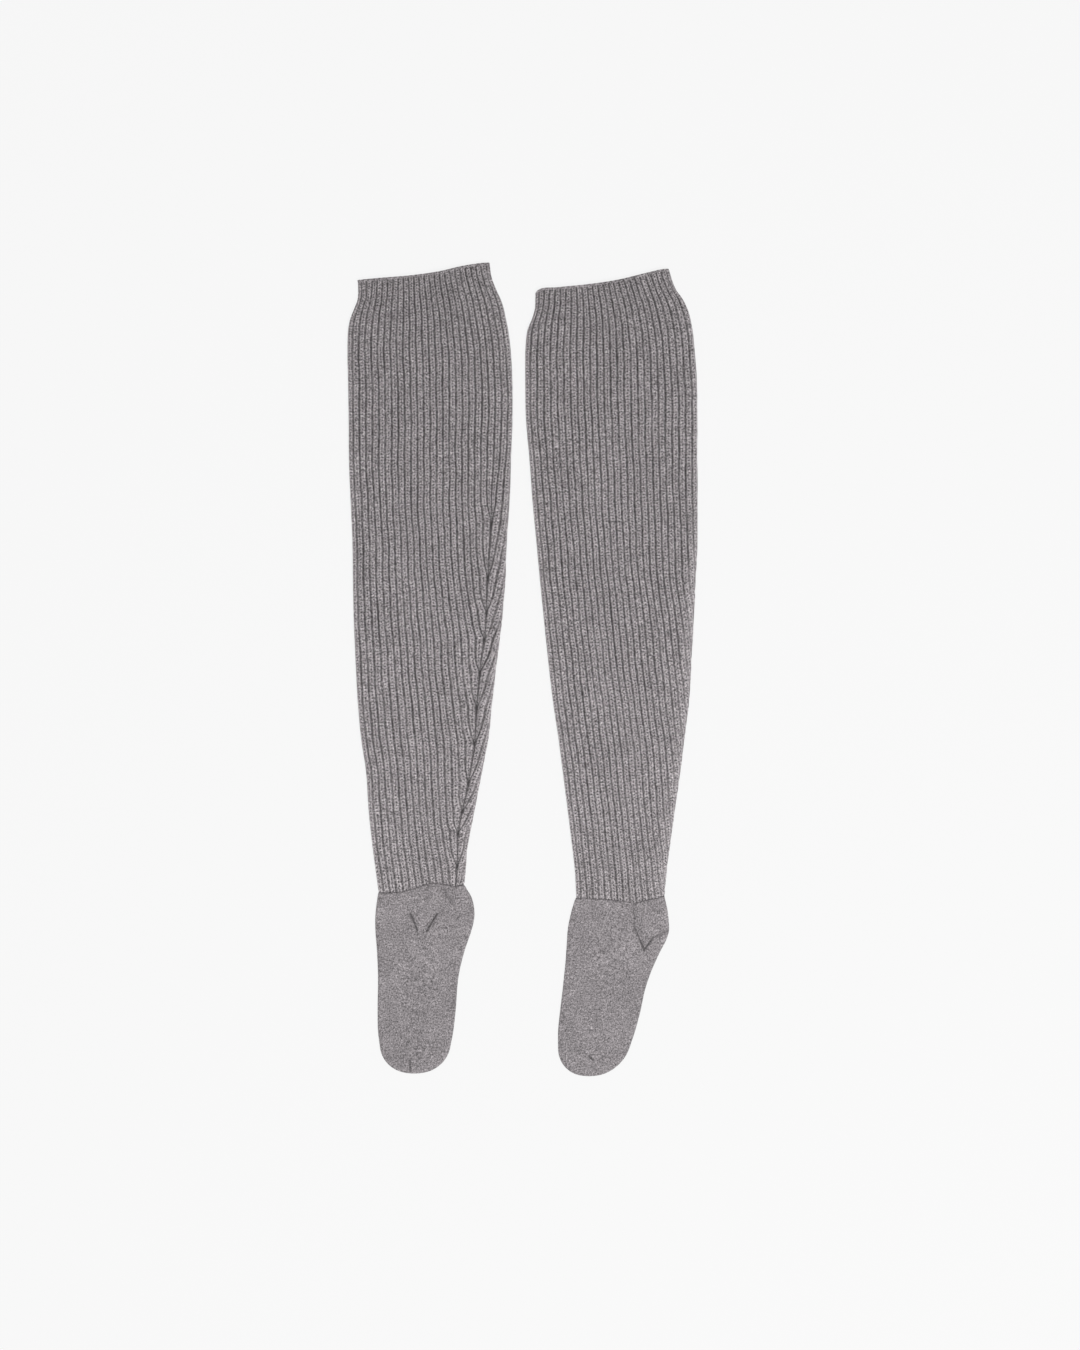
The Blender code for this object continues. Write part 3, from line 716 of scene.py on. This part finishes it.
class Columns:
    """The columns of a leg's mesh after some decreases, in order round the tube from the left fold.

    The first group of ribs goes over the top panel to the line of decreases. The second is counted from the
    left fold along the underside, and its columns run back from the line. The line has a column of each.
    """

    def __init__(self, leg, taken):
        self.top_ribs = leg.ribs_top - taken
        self.under_ribs = leg.ribs_under - taken
        top = [(rib, phase, rise) for rib in range(self.top_ribs) for phase, rise in RIB_STEPS]
        top.append((self.top_ribs, 0.0, 0.0))
        under = [(self.under_ribs, 0.0, 0.0)]
        for rib in reversed(range(self.under_ribs)):
            under.extend((rib, phase, rise) for phase, rise in reversed(under_steps(leg, rib)))
        self.top_count = len(top)
        self.rib, self.phase, self.rise = np.array(top + under, float).T
        self.rib = self.rib.astype(int)
        self.is_top = np.arange(len(self.rib)) < self.top_count
        self.knit_u = self.rib + self.phase + np.where(self.is_top, 0.0, UNDER_U)

    def arcs(self, top_valleys, under_valleys, length):
        """Lengths round the tube of all the columns, and each one's share of a full rib's width."""
        places = []
        widths = []
        for which, at, ribs, start, way in ((self.is_top, top_valleys, self.top_ribs, 0.0, 1.0),
                                            (~self.is_top, under_valleys, self.under_ribs, length, -1.0)):
            ends = np.append(at, at[-1])
            rib = self.rib[which]
            width = ends[rib + 1] - ends[rib]
            places.append(start + way * ends[rib] + way * self.phase[which] * width)
            widths.append(width / (at[-1] / ribs))
        return np.concatenate(places), ease(np.concatenate(widths) / FULL_WIDTH)

    def source_for(self, leg):
        """For each column there was before the last decrease, the column here that it has come to."""
        line = self.top_count - 1
        lost_top = [line] * len(RIB_STEPS)
        lost_under = [line + 1] * len(under_steps(leg, self.under_ribs))
        kept = list(range(line)) + lost_top + [line, line + 1] + lost_under
        return np.array(kept + list(range(line + 2, len(self.rib))))


def under_steps(leg, rib):
    return RIB_STEPS if rib >= leg.fine_from else UNDER_STEPS


def leg_courses(leg):
    """The rows of a leg from the mouth down.

    Each is its curve, its Y, the stitches down from the mouth, the decreases so far, the share of the way to
    the next one, and the length left to the ankle.
    """
    mouth_y = mean_y(leg.mouth)
    ankle_y = mean_y(leg.ankle)

    def cuff(share):
        return lambda x: follow(leg.mouth, x) * (1 - share) + TOP_COURSE * share

    def level(y):
        return lambda x: y + 0.0 * x

    def last(share):
        end = leg.decreases[-1]
        return lambda x: end * (1 - share) + share * (follow(leg.ankle, x) + SEAM_GAP / 2)

    courses = []
    down = 0.0
    blocks = [(mouth_y, TOP_COURSE, 0), (TOP_COURSE, leg.decreases[0], 0)]
    blocks += [(start, end, i + 1) for i, (start, end) in enumerate(zip(leg.decreases, leg.decreases[1:]))]
    for start, end, taken in blocks:
        stitches = max(1, round((start - end) / COURSE))
        for step in range(2 * stitches):
            share = step / (2 * stitches)
            y = start + (end - start) * share
            curve = cuff(share) if start == mouth_y else level(y)
            courses.append((curve, y, down + stitches * share, taken, share, y - ankle_y))
        down += stitches
    start = leg.decreases[-1]
    usual = leg.decreases[-2] - start
    ends = [ankle_y + rise for rise in ANKLE_ROWS]
    steps = int((start - ends[0]) / COURSE * 2)
    ys = [start + (ends[0] - start) * step / steps for step in range(steps)] + ends
    for y in ys:
        share = (start - y) / (start - ankle_y)
        run = min(LAST_RUN, (start - y) / usual)
        courses.append((last(share), y, down + (start - y) / COURSE, len(leg.decreases), run, y - ankle_y))
    return courses


def evened(fold, y):
    """X of a side fold with its short turns evened out."""
    return np.mean([fold(y + step) for step in TURN_STEPS])


def drift(sides, section, arcs):
    """How far along the ribs away from the folds lie, as they keep straight where a fold turns."""
    left_turn = section.left - evened(sides.left, section.y[0])
    right_turn = section.right - evened(sides.right, section.y[Section.STEPS])
    x = np.interp(arcs, section.arc, section.x)
    from_left = x - section.left
    from_right = section.right - x
    width = section.right - section.left
    moved = (left_turn * (np.exp(-from_left / TURN_REACH) - from_right / width)
             + right_turn * (np.exp(-from_right / TURN_REACH) - from_left / width))
    return np.where(arcs <= section.top_length, moved, -moved)


def line_length(leg, section, y):
    """Length round the tube from the left fold to the line of decreases."""
    if leg.line is None:
        return section.top_length + leg.hidden_line
    first = leg.line[0]
    seen = section.arc_at_x(follow([(place.y, place.x) for place in leg.line], min(y, first.y)))
    share = leg.ribs_top / leg.top_fits
    return seen + (section.top_length * share - seen) * float(ease((y - first.y) / LEAN_IN))


def leg_row(leg, columns, sides, section, course, mouth_y):
    """Places of the columns of one course, their outward directions, lengths round the tube and heights."""
    y, down, taken, run, left_over = course[1:]
    line = line_length(leg, section, y)
    closing = None
    if taken == 0:
        above = y - leg.decreases[0]
        narrowed = max(0.0, 1.0 - above / NARROWING) ** NARROWING_POWER
        closing = (float(ease(1.0 - above / CLOSING)), narrowed)
    top = valleys(columns.top_ribs, run, line, closing, stray(columns.top_ribs, y, 0.0), NEAR_BEND)
    under = valleys(columns.under_ribs, run, section.length - line, closing,
                    stray(columns.under_ribs, y, UNDER_SEED), FAR_BEND)
    if leg.line is not None:
        under = widened(under, nearing(y, leg.line[0].y, LEAN_IN))
    arcs, fullness = columns.arcs(top, under, section.length)
    from_seam = np.minimum(arcs, section.length - arcs)
    arcs = arcs + np.minimum(1.0, from_seam) * drift(sides, section, arcs)
    arcs = arcs + np.clip(from_seam / WANDER_IN, 0.0, 1.0) * WANDER * waves(WANDER_WAVES, y, arcs)
    places, outward = section.at(arcs)
    knotted = ease(left_over / KNOT)
    loose = ease((mouth_y - y) / TIPS_MOUTH) * ease(left_over / TIPS_ANKLE)
    between = np.cos(math.pi * down) ** 2
    crown = columns.rise * (1.0 - between * np.where(columns.phase == 0.5, RIB_WAIST, STRAND_WAIST))
    crown = np.maximum(crown, MOUTH_FILL * (1.0 - ease((mouth_y - y) / MOUTH_ROLL)))
    depth = RIB_DEPTH_UNDER + (RIB_DEPTH - RIB_DEPTH_UNDER) * ease((outward[:, 2] + 0.5) / 0.7)
    depth = depth * (1.0 - FOLD_EASE * (1.0 - np.abs(outward[:, 2])))
    sink = depth * (1.0 - crown * fullness * knotted) + KNOT_SINK * (1.0 - knotted)
    places = places - outward * sink[:, None]
    chevron = (1.0 - np.abs(2.0 * columns.phase - 1.0)) * fullness
    places[:, 1] += CHEVRON * chevron * loose
    return places, outward, arcs, crown * fullness


def leg_painted_shade(leg, columns, section, arcs, y, left_over):
    """Painted shade of the columns of a row: at the ankle's seam, along the line and most at each decrease.

    Below 0 it is painted light, where the ribs open out at the side folds.
    """
    first = leg.decreases[0]
    reach = FOLD_REACH + (HIDDEN_REACH * nearing(y, first, HIDDEN_FROM) if leg.line is None else 0.0)
    left_fold = np.minimum(arcs, section.length - arcs)
    right_fold = np.abs(arcs - section.top_length)
    # painted shade beside the ankle's seam
    painted_shade = painted_seam_shade(arcs, 3.7, 8.3, leg.seed) * (1.0 - ease(left_over / SHADE_ABOVE))
    # painted light at the side folds, reaching further in where the line is hidden behind the right fold
    painted_shade = painted_shade - FOLD_PAINTED_LIGHT * np.maximum(hump(left_fold, FOLD_REACH), hump(right_fold, reach))
    if leg.line is None or y > first + LINE_FROM:
        return painted_shade
    # painted shade along the line of decreases, deepest just below each decrease
    pinched = hump(min(abs(y - decrease + PINCH_BELOW) for decrease in leg.decreases), PINCH)
    line = np.abs(arcs - arcs[columns.top_count])
    deepest = LINE_PAINTED_SHADE * nearing(y, first, LINE_FROM) + (1.0 - LINE_PAINTED_SHADE) * pinched
    closed = deepest * hump(line, LINE_REACH + PINCH_REACH * pinched)
    return np.where(closed > 0.0, np.maximum(painted_shade, closed), painted_shade)


def build_leg(leg):
    outside = Sides(leg.edges)
    inside = Sides(leg.edges, leg.form.wall)
    shell = Shell()
    courses = leg_courses(leg)
    mouth_y = courses[0][1]
    columns = Columns(leg, 0)
    rows = []
    insides = []
    for number, course in enumerate(courses):
        curve, y, down, taken, _, left_over = course
        along_top = y >= TOP_COURSE
        section = Section(leg, outside, curve, along_top=along_top)
        now = columns
        if taken > leg.ribs_top - columns.top_ribs:
            now = Columns(leg, taken)
        twin = now.top_count
        places, outward, arcs, crown = leg_row(leg, now, outside, section, course, mouth_y)
        # painted shade of the row's columns, with painted light at the side folds
        painted_shade = leg_painted_shade(leg, now, section, arcs, y, left_over)
        row = row_of(shell, section, places, arcs, now.knit_u, down, LEG_OUTSIDE, y, twin, painted_shade)
        up = y - LEG_OUTSIDE.lowest
        if rows and now is not columns:
            shell.strip(rows[-1], row.spread(now.source_for(leg), columns.knit_u))
        elif rows:
            shell.strip(rows[-1], row)
        else:
            wall = RIDGE_WALL - MOUTH_THIN - RIB_DEPTH * (1.0 - crown)
            rim = row
            for share, on, on_ribs, knit_v, bake_v in MOUTH_RIM:
                before = rim
                rim = rim_row(shell, row, places, outward, share * wall, on + on_ribs * crown, knit_v,
                              up + bake_v, twin)
                shell.strip(rim, before)
        rows.append(row)
        columns = now
        is_last = number == len(courses) - 1
        if number % INSIDE_EVERY == 0 and left_over > INSIDE_EVERY * COURSE / 2 or is_last:
            inner = Section(leg, inside, curve, True, along_top)
            stitch_width = inner.length / (leg.ribs_top + leg.ribs_under)
            insides.append(inside_row(shell, inner, INSIDE_STEPS, LEG_INSIDE_U, stitch_width, down,
                                      LEG_INSIDE, y))
    shell.stitch(insides[0], laid_by(rim, insides[0], RIM_LAY))
    for above, below in zip(insides, insides[1:]):
        shell.strip(below, above)
    wall = 0.5 * (RIDGE_WALL - ANKLE_THIN - RIB_DEPTH)
    rim = rim_row(shell, rows[-1], places, outward, wall, 0.0, down + RIM_STITCH, up - RIM_WIDTH, twin)
    shell.strip(rows[-1], rim)
    shell.stitch(laid_by(rim, insides[-1], -RIM_LAY), insides[-1])
    return shell.finish(leg.name + "_knit")


# Jersey feet

def foot_painted_shade(foot, places):
    """Painted shade of the places of a row, down in the creases of the side that they are on."""
    x, y, z = places.T
    painted_shade = 0.0 * x
    middle = foot.form.middle
    for creases, side in ((foot.creases, z > middle), (foot.dents, z < middle)):
        for crease in creases:
            near = hump(distance_to(crease, x, y), crease.reach * DARK_REACH)
            painted_shade = np.maximum(painted_shade, side * crease.dark * near)
    return painted_shade


def foot_courses(foot, outside, inside):
    """The rows of a foot from the ankle down.

    Each is the curves of its outside and its inside, its Y, its length below the ankle, and its share of the
    full count of columns.
    """
    ankle_y = mean_y(foot.ankle)
    length = ankle_y - TOE_START

    def sole(share):
        return lambda x: (1 - share) * (follow(foot.ankle, x) - SEAM_GAP / 2) + TOE_START * share

    def toe(depth, turn):
        return lambda x: TOE_START - depth * math.sin(turn) + 0.0 * x

    heel_end = HEEL_ROWS[-1]
    steps = round((length - heel_end) / FOOT_STEP)
    downs = list(HEEL_ROWS[:-1]) + [heel_end + (length - heel_end) * i / steps for i in range(steps + 1)]
    courses = [(sole(down / length), sole(down / length), ankle_y - down, down, 1.0) for down in downs]
    turns = round(outside.depth * math.pi / 2 / FOOT_STEP)
    for step in range(1, turns):
        turn = math.pi / 2 * step / turns
        y = TOE_START - outside.depth * math.sin(turn)
        columns = next(share for end, share in TOE_COLUMNS if step < end * turns)
        courses.append((toe(outside.depth, turn), toe(inside.depth, turn), y, ankle_y - y, columns))
    return courses


def tip_row(shell, row, sides, foot):
    """A row gathered to one point, at the tip of the toe."""
    y = TOE_START - sides.depth
    vertex = shell.add(np.array([(float(sides.centre(y)), y, foot.form.middle)]), np.zeros(1))[0]
    return Row(np.full(len(row.vertices), vertex), row.knit, row.bake - (0.0, 1.0 / BAKE_SIDE), row.across)


def build_foot(foot):
    outside = FootSides(foot)
    inside = FootSides(foot, foot.form.wall)
    shell = Shell()
    full = 4 * round(FOOT_AROUND / FOOT_STEP / 4)
    outers = []
    inners = []
    for number, (curve, inner_curve, y, down, share) in enumerate(foot_courses(foot, outside, inside)):
        section = Section(foot, outside, curve)
        arcs = np.linspace(0.0, section.length, round(full * share) + 1)
        places, outward = section.at(arcs)
        places = places - outward * (HEM_DROP * (1.0 - ease(down / HEM_LENGTH)))
        # painted shade in the creases and beside the ankle's seam
        painted_shade_by_seam = painted_seam_shade(arcs, 3.1, 9.0, foot.seed) * (1.0 - ease(down / SHADE_BELOW))
        painted_shade = np.maximum(foot_painted_shade(foot, places), painted_shade_by_seam)
        stitches = down / JERSEY_COURSE
        knit_u = (arcs - section.top_length / 2) / JERSEY_STITCH + FOOT_U
        outers.append(row_of(shell, section, places, arcs, knit_u, stitches, FOOT_OUTSIDE, y, None, painted_shade))
        if number == 0:
            bake_v = (y - FOOT_OUTSIDE.lowest + RIM_WIDTH) * FOOT_OUTSIDE.scale
            rim = rim_row(shell, outers[0], places, outward, HEM_DEPTH, 0.0, -RIM_STITCH, bake_v)
        if number % FOOT_INSIDE_EVERY == 0:
            inner = Section(foot, inside, inner_curve, True)
            inners.append(inside_row(shell, inner, round(full * share / 4), FOOT_INSIDE_U, JERSEY_STITCH,
                                     stitches, FOOT_INSIDE, y))
    for above, below in zip(outers, outers[1:]):
        shell.join(above, below)
    for above, below in zip(inners, inners[1:]):
        shell.join(below, above)
    shell.strip(rim, outers[0])
    shell.stitch(inners[0], laid_by(rim, inners[0], RIM_LAY))
    shell.strip(outers[-1], tip_row(shell, outers[-1], outside, foot))
    shell.strip(tip_row(shell, inners[-1], inside, foot), inners[-1])
    return shell.finish(foot.name + "_knit")


# Linking seam at the ankle

def build_seam(foot):
    """The round of thread that links a foot to its leg, as a closed cord of stitches in the parting."""
    section = Section(foot, Sides(foot.edges), lambda x: follow(foot.ankle, x))
    steps = 2 * round(section.length / SEAM_STITCH)
    places, outward = section.at(np.arange(steps) * section.length / steps)
    middle = places - outward * SEAM_DEPTH
    along = np.roll(middle, -1, 0) - np.roll(middle, 1, 0)
    along /= np.linalg.norm(along, axis=1)[:, None]
    sideways = np.cross(along, outward)
    radius = np.where(np.arange(steps) % 2 == 0, SEAM_RADIUS, SEAM_WAIST * SEAM_RADIUS)[:, None]
    rounds = []
    for side in range(SEAM_SIDES):
        turn = 2 * math.pi * side / SEAM_SIDES
        rounds.append(middle + radius * (math.cos(turn) * outward + math.sin(turn) * sideways))
    points = np.stack(rounds, 1).reshape(-1, 3)
    faces = []
    for i in range(steps):
        for j in range(SEAM_SIDES):
            here = i * SEAM_SIDES
            after = (i + 1) % steps * SEAM_SIDES
            beside = (j + 1) % SEAM_SIDES
            faces.append((here + j, here + beside, after + beside, after + j))
    mesh = bpy.data.meshes.new(foot.name + "_seam")
    mesh.from_pydata((points * MM).tolist(), [], faces)
    mesh.shade_smooth()
    return placed(foot.name + "_seam", mesh)


# Materials

def new_material(name):
    """A new material, its nodes and its shader."""
    material = bpy.data.materials.new(name)
    material.use_nodes = True
    return material, material.node_tree, material.node_tree.nodes["Principled BSDF"]


def give(node, values):
    """Sets inputs of a node by their names."""
    for name, value in values.items():
        node.inputs[name].default_value = value


class Field:
    """A number that varies over a surface: a socket of a material's nodes, with arithmetic."""

    def __init__(self, tree, socket):
        self.tree = tree
        self.socket = socket

    def calc(self, operation, *others):
        node = self.tree.nodes.new("ShaderNodeMath")
        node.operation = operation
        for i, value in enumerate((self,) + others):
            if isinstance(value, Field):
                self.tree.links.new(value.socket, node.inputs[i])
            else:
                node.inputs[i].default_value = value
        return Field(self.tree, node.outputs[0])

    def __add__(self, other):
        return self.calc("ADD", other)

    def __sub__(self, other):
        return self.calc("SUBTRACT", other)

    def __mul__(self, other):
        return self.calc("MULTIPLY", other)

    def tone(self, amount, base=1.0):
        """This times an amount, on a base."""
        return self * amount + base

    def opposite(self):
        """1 less this."""
        return self.tone(-1.0)

    def off_middle(self):
        """How far this is from the middle of its whole-number cell."""
        return (self.calc("FRACT") - 0.5).calc("ABSOLUTE")

    def step(self, low, high):
        """0 up to low, 1 from high on, and a smooth rise between."""
        node = self.tree.nodes.new("ShaderNodeMapRange")
        node.interpolation_type = "SMOOTHSTEP"
        self.tree.links.new(self.socket, node.inputs["Value"])
        give(node, {"From Min": low, "From Max": high})
        return Field(self.tree, node.outputs["Result"])


def product(first, *others):
    for other in others:
        first = first * other
    return first


def combine(x, y):
    node = x.tree.nodes.new("ShaderNodeCombineXYZ")
    x.tree.links.new(x.socket, node.inputs[0])
    x.tree.links.new(y.socket, node.inputs[1])
    return Field(x.tree, node.outputs[0])


def split(vector):
    """The X and the Y of a vector."""
    node = vector.tree.nodes.new("ShaderNodeSeparateXYZ")
    vector.tree.links.new(vector.socket, node.inputs[0])
    return [Field(vector.tree, output) for output in node.outputs[:2]]


def noise(place, scale=1.0, detail=2.0, roughness=0.5):
    """Noise from about -1 to 1."""
    node = place.tree.nodes.new("ShaderNodeTexNoise")
    place.tree.links.new(place.socket, node.inputs["Vector"])
    give(node, {"Scale": scale, "Detail": detail, "Roughness": roughness})
    return (Field(place.tree, node.outputs["Fac"]) - 0.5) * 2.0


def each(x, y):
    """A value from -1 to 1 that is the same all over each whole-number cell."""
    node = x.tree.nodes.new("ShaderNodeTexWhiteNoise")
    node.noise_dimensions = "2D"
    x.tree.links.new(combine(x.calc("FLOOR"), y.calc("FLOOR")).socket, node.inputs["Vector"])
    return (Field(x.tree, node.outputs["Value"]) - 0.5) * 2.0


def object_place(tree):
    """Where a point is on its object, in metres."""
    return Field(tree, tree.nodes.new("ShaderNodeTexCoord").outputs["Object"])


def colour(tree, shader, tint, light):
    """Gives a shader a tint, made lighter and darker by a field."""
    scale = tree.nodes.new("ShaderNodeVectorMath")
    scale.operation = "SCALE"
    scale.inputs[0].default_value = tint
    tree.links.new(light.socket, scale.inputs["Scale"])
    tree.links.new(scale.outputs[0], shader.inputs["Base Color"])


class Knit:
    """A new knit material: its nodes, its place in stitches and its place on the object in metres."""

    def __init__(self, name, seed):
        self.material, self.tree, self.shader = new_material(name)
        self.seed = seed
        uv = self.tree.nodes.new("ShaderNodeUVMap")
        uv.uv_map = "Knit"
        self.u, self.v = split(Field(self.tree, uv.outputs[0]))
        self.place = object_place(self.tree)
        self.y = split(self.place)[1]
        # the painted shade on the points, which darkens the colour; below 0 it is painted light
        attribute = self.tree.nodes.new("ShaderNodeAttribute")
        attribute.attribute_name = "PaintedShade"
        self.painted_shade = Field(self.tree, attribute.outputs["Fac"])

    def yarn_noise(self, across, down, detail=2.0, roughness=0.5):
        """Noise that lies along the stitches, by how often it changes across and down one."""
        return noise(combine(self.u * across + self.seed, self.v * down), 1.0, detail, roughness)

    def finish(self, tint, light, height, rise):
        colour(self.tree, self.shader, tint, light.calc("MAXIMUM", DARKEST))
        bump = self.tree.nodes.new("ShaderNodeBump")
        bump.inputs["Distance"].default_value = rise * MM
        self.tree.links.new(height.socket, bump.inputs["Height"])
        self.tree.links.new(bump.outputs[0], self.shader.inputs["Normal"])
        give(self.shader, {"Roughness": 0.95, "Specular IOR Level": 0.25, "Sheen Weight": 0.18,
                           "Sheen Roughness": 0.6})
        return self.material


def rib_material(name, seed):
    """1x1 rib: each rib a column of stitches of two slanting strands each, with a valley between, darkened by
    painted shade.
    """
    knit = Knit(name, seed)
    side = knit.u.off_middle()
    course = knit.v + knit.yarn_noise(0.7, 0.35) * 0.2
    parting = course.off_middle().step(0.16, 0.40)
    strand = (side - 0.17).calc("ABSOLUTE").step(0.02, 0.19).opposite()
    broken = knit.yarn_noise(0.9, 2.3) + 1.0
    # painted shade in the valleys between ribs, uneven from valley to valley and broken along them
    valley = (knit.u + 0.5).calc("FLOOR") * 7.3
    uneven = noise(combine(valley + seed, knit.v * 0.05)).tone(0.42)
    # the valleys' painted shade is weaker at the side folds' painted light and stronger towards the mouth
    valley_shade_scale = knit.painted_shade.calc("MINIMUM", 0.0).tone(2.4) * knit.y.step(-0.22, 0.10).tone(0.10)
    painted_valley_shade = side.step(0.27, 0.42) * knit.v.step(0.0, 1.0) * broken * uneven * valley_shade_scale
    # painted shade at the partings between courses, deepest in the hole at each stitch's heart
    heart = side.step(0.02, 0.15).opposite() * each(knit.u + seed, course).tone(0.45)
    strands = each(knit.u * 2.0 + seed, course)
    streak = knit.yarn_noise(0.8, 1.6, 1.0)
    fleck = knit.yarn_noise(3.4, 2.1, 2.0, 0.6)
    grain = noise(knit.place, 690.0, 1.0)
    mottle = noise(knit.place, 75.0)
    cloud = noise(knit.place, 18.0, 1.0)
    fibre = noise(knit.place, 2100.0, 2.0, 0.7)
    # the knit's own tone varies at random by strand, fleck, grain, mottle, cloud, fibre and streak; painted
    # shade darkens the valleys, the partings, the stitches' hearts, the creases, the line and the seam;
    # painted light lightens the side folds; it is darker towards the mouth
    light = product(
        strands.tone(0.11), fleck.tone(0.60), grain.tone(1.60), mottle.tone(0.16), cloud.tone(0.09),
        fibre.tone(0.25), streak.tone(0.18), painted_valley_shade.tone(-0.62), (heart * parting).tone(-0.80),
        parting.tone(-0.08), knit.y.step(-0.23, 0.42).tone(-0.10), knit.y.step(0.25, 0.41).tone(-0.05),
        knit.painted_shade.tone(-0.70))
    height = strand * parting.tone(-0.6) + fibre * 0.12 + fleck * 0.2
    return knit.finish(RIB_TINT, light, height, 0.6)


def jersey_material(name, seed):
    """Plain jersey: fine columns of small stitches."""
    knit = Knit(name, seed)
    side = knit.u.off_middle()
    course = knit.v + side * 1.1
    parting = course.off_middle().step(0.22, 0.5)
    strand = (side - 0.24).calc("ABSOLUTE").step(0.02, 0.25).opposite()
    strands = each(knit.u * 2.0 + seed, course)
    streak = knit.yarn_noise(0.30, 0.75)
    fleck = knit.yarn_noise(1.3, 0.9, 2.0, 0.6)
    grain = noise(knit.place, 700.0, 1.0)
    mottle = noise(knit.place, 60.0)
    cloud = noise(knit.place, 22.0, 1.0)
    fibre = noise(knit.place, 2100.0, 2.0, 0.7)
    # the knit's own tone varies at random; painted shade darkens between the strands, at the partings, in the
    # creases and beside the seam; it is darker towards the toe
    light = product(
        strands.tone(0.16), fleck.tone(0.58), grain.tone(1.32), mottle.tone(0.22), cloud.tone(0.12),
        fibre.tone(0.20), streak.tone(0.30), knit.y.step(-0.36, -0.26).tone(0.05, 0.95),
        strand.tone(0.32, 0.81), parting.tone(-0.24), knit.painted_shade.tone(-0.75))
    height = strand * parting.tone(-0.6) + fibre * 0.15 + fleck * 0.4
    return knit.finish(JERSEY_TINT, light, height, 0.35)


def seam_material():
    # the thread's near-black tint is painted shade of the parting that it lies in
    material, tree, shader = new_material("linking_thread_painted_shade")
    colour(tree, shader, SEAM_PAINTED_SHADE_TINT, noise(object_place(tree), 700.0).tone(0.35))
    give(shader, {"Roughness": 0.95, "Specular IOR Level": 0.2})
    return material


# The scene

def add_floor():
    mesh = bpy.data.meshes.new("floor")
    half = FLOOR_HALF
    mesh.from_pydata([(-half, -half, 0.0), (half, -half, 0.0), (half, half, 0.0), (-half, half, 0.0)], [],
                     [(0, 1, 2, 3)])
    material, _, shader = new_material("floor")
    give(shader, {"Base Color": (0.08, 0.08, 0.08, 1.0), "Roughness": 1.0, "Specular IOR Level": 0.0,
                  "Emission Color": (1.0, 1.0, 1.0, 1.0), "Emission Strength": FLOOR_GLOW})
    mesh.materials.append(material)
    floor = placed("floor", mesh)
    floor.location.z = FLOOR_DROP * MM


def add_light(name, place, size, power):
    light = bpy.data.lights.new(name, "AREA")
    light.shape = "DISK"
    light.size = size
    light.energy = power
    lamp = placed(name, light)
    lamp.location = place
    lamp.rotation_euler = (-Vector(place)).to_track_quat("-Z", "Y").to_euler()


def add_camera():
    camera = bpy.data.cameras.new("camera")
    camera.sensor_fit = "VERTICAL"
    camera.sensor_height = SENSOR
    camera.lens = LENS
    viewer = placed("camera", camera)
    viewer.location = (VIEW_CENTRE[0] * MM, VIEW_CENTRE[1] * MM, VIEW_HEIGHT * MM * LENS / SENSOR)
    bpy.context.scene.camera = viewer


def set_world():
    world = bpy.data.worlds.new("world")
    world.use_nodes = True
    give(world.node_tree.nodes["Background"], {"Color": (1.0, 1.0, 1.0, 1.0), "Strength": SKY})
    bpy.context.scene.world = world
    bpy.context.scene.view_settings.view_transform = "Standard"


def main():
    add_camera()
    set_world()
    add_light("overhead", (0.9, -1.3, 2.6), 1.6, LAMP)
    add_floor()
    thread = seam_material()
    for side, leg, foot, seed in (("left", LEFT_LEG, LEFT_FOOT, 0.0),
                                  ("right", RIGHT_LEG, RIGHT_FOOT, 400.0)):
        tube = build_leg(leg)
        tube.data.materials.append(rib_material("rib_knit_" + side, seed))
        sole = build_foot(foot)
        sole.data.materials.append(jersey_material("jersey_knit_" + side, seed))
        seam = build_seam(foot)
        seam.data.materials.append(thread)
        for piece in (tube, sole, seam):
            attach(piece, "root")
        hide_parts(leg.name)
        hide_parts(foot.name)
        "rib_knit_" + side
        "jersey_knit_" + side
        "jersey_knit_" + side


main()
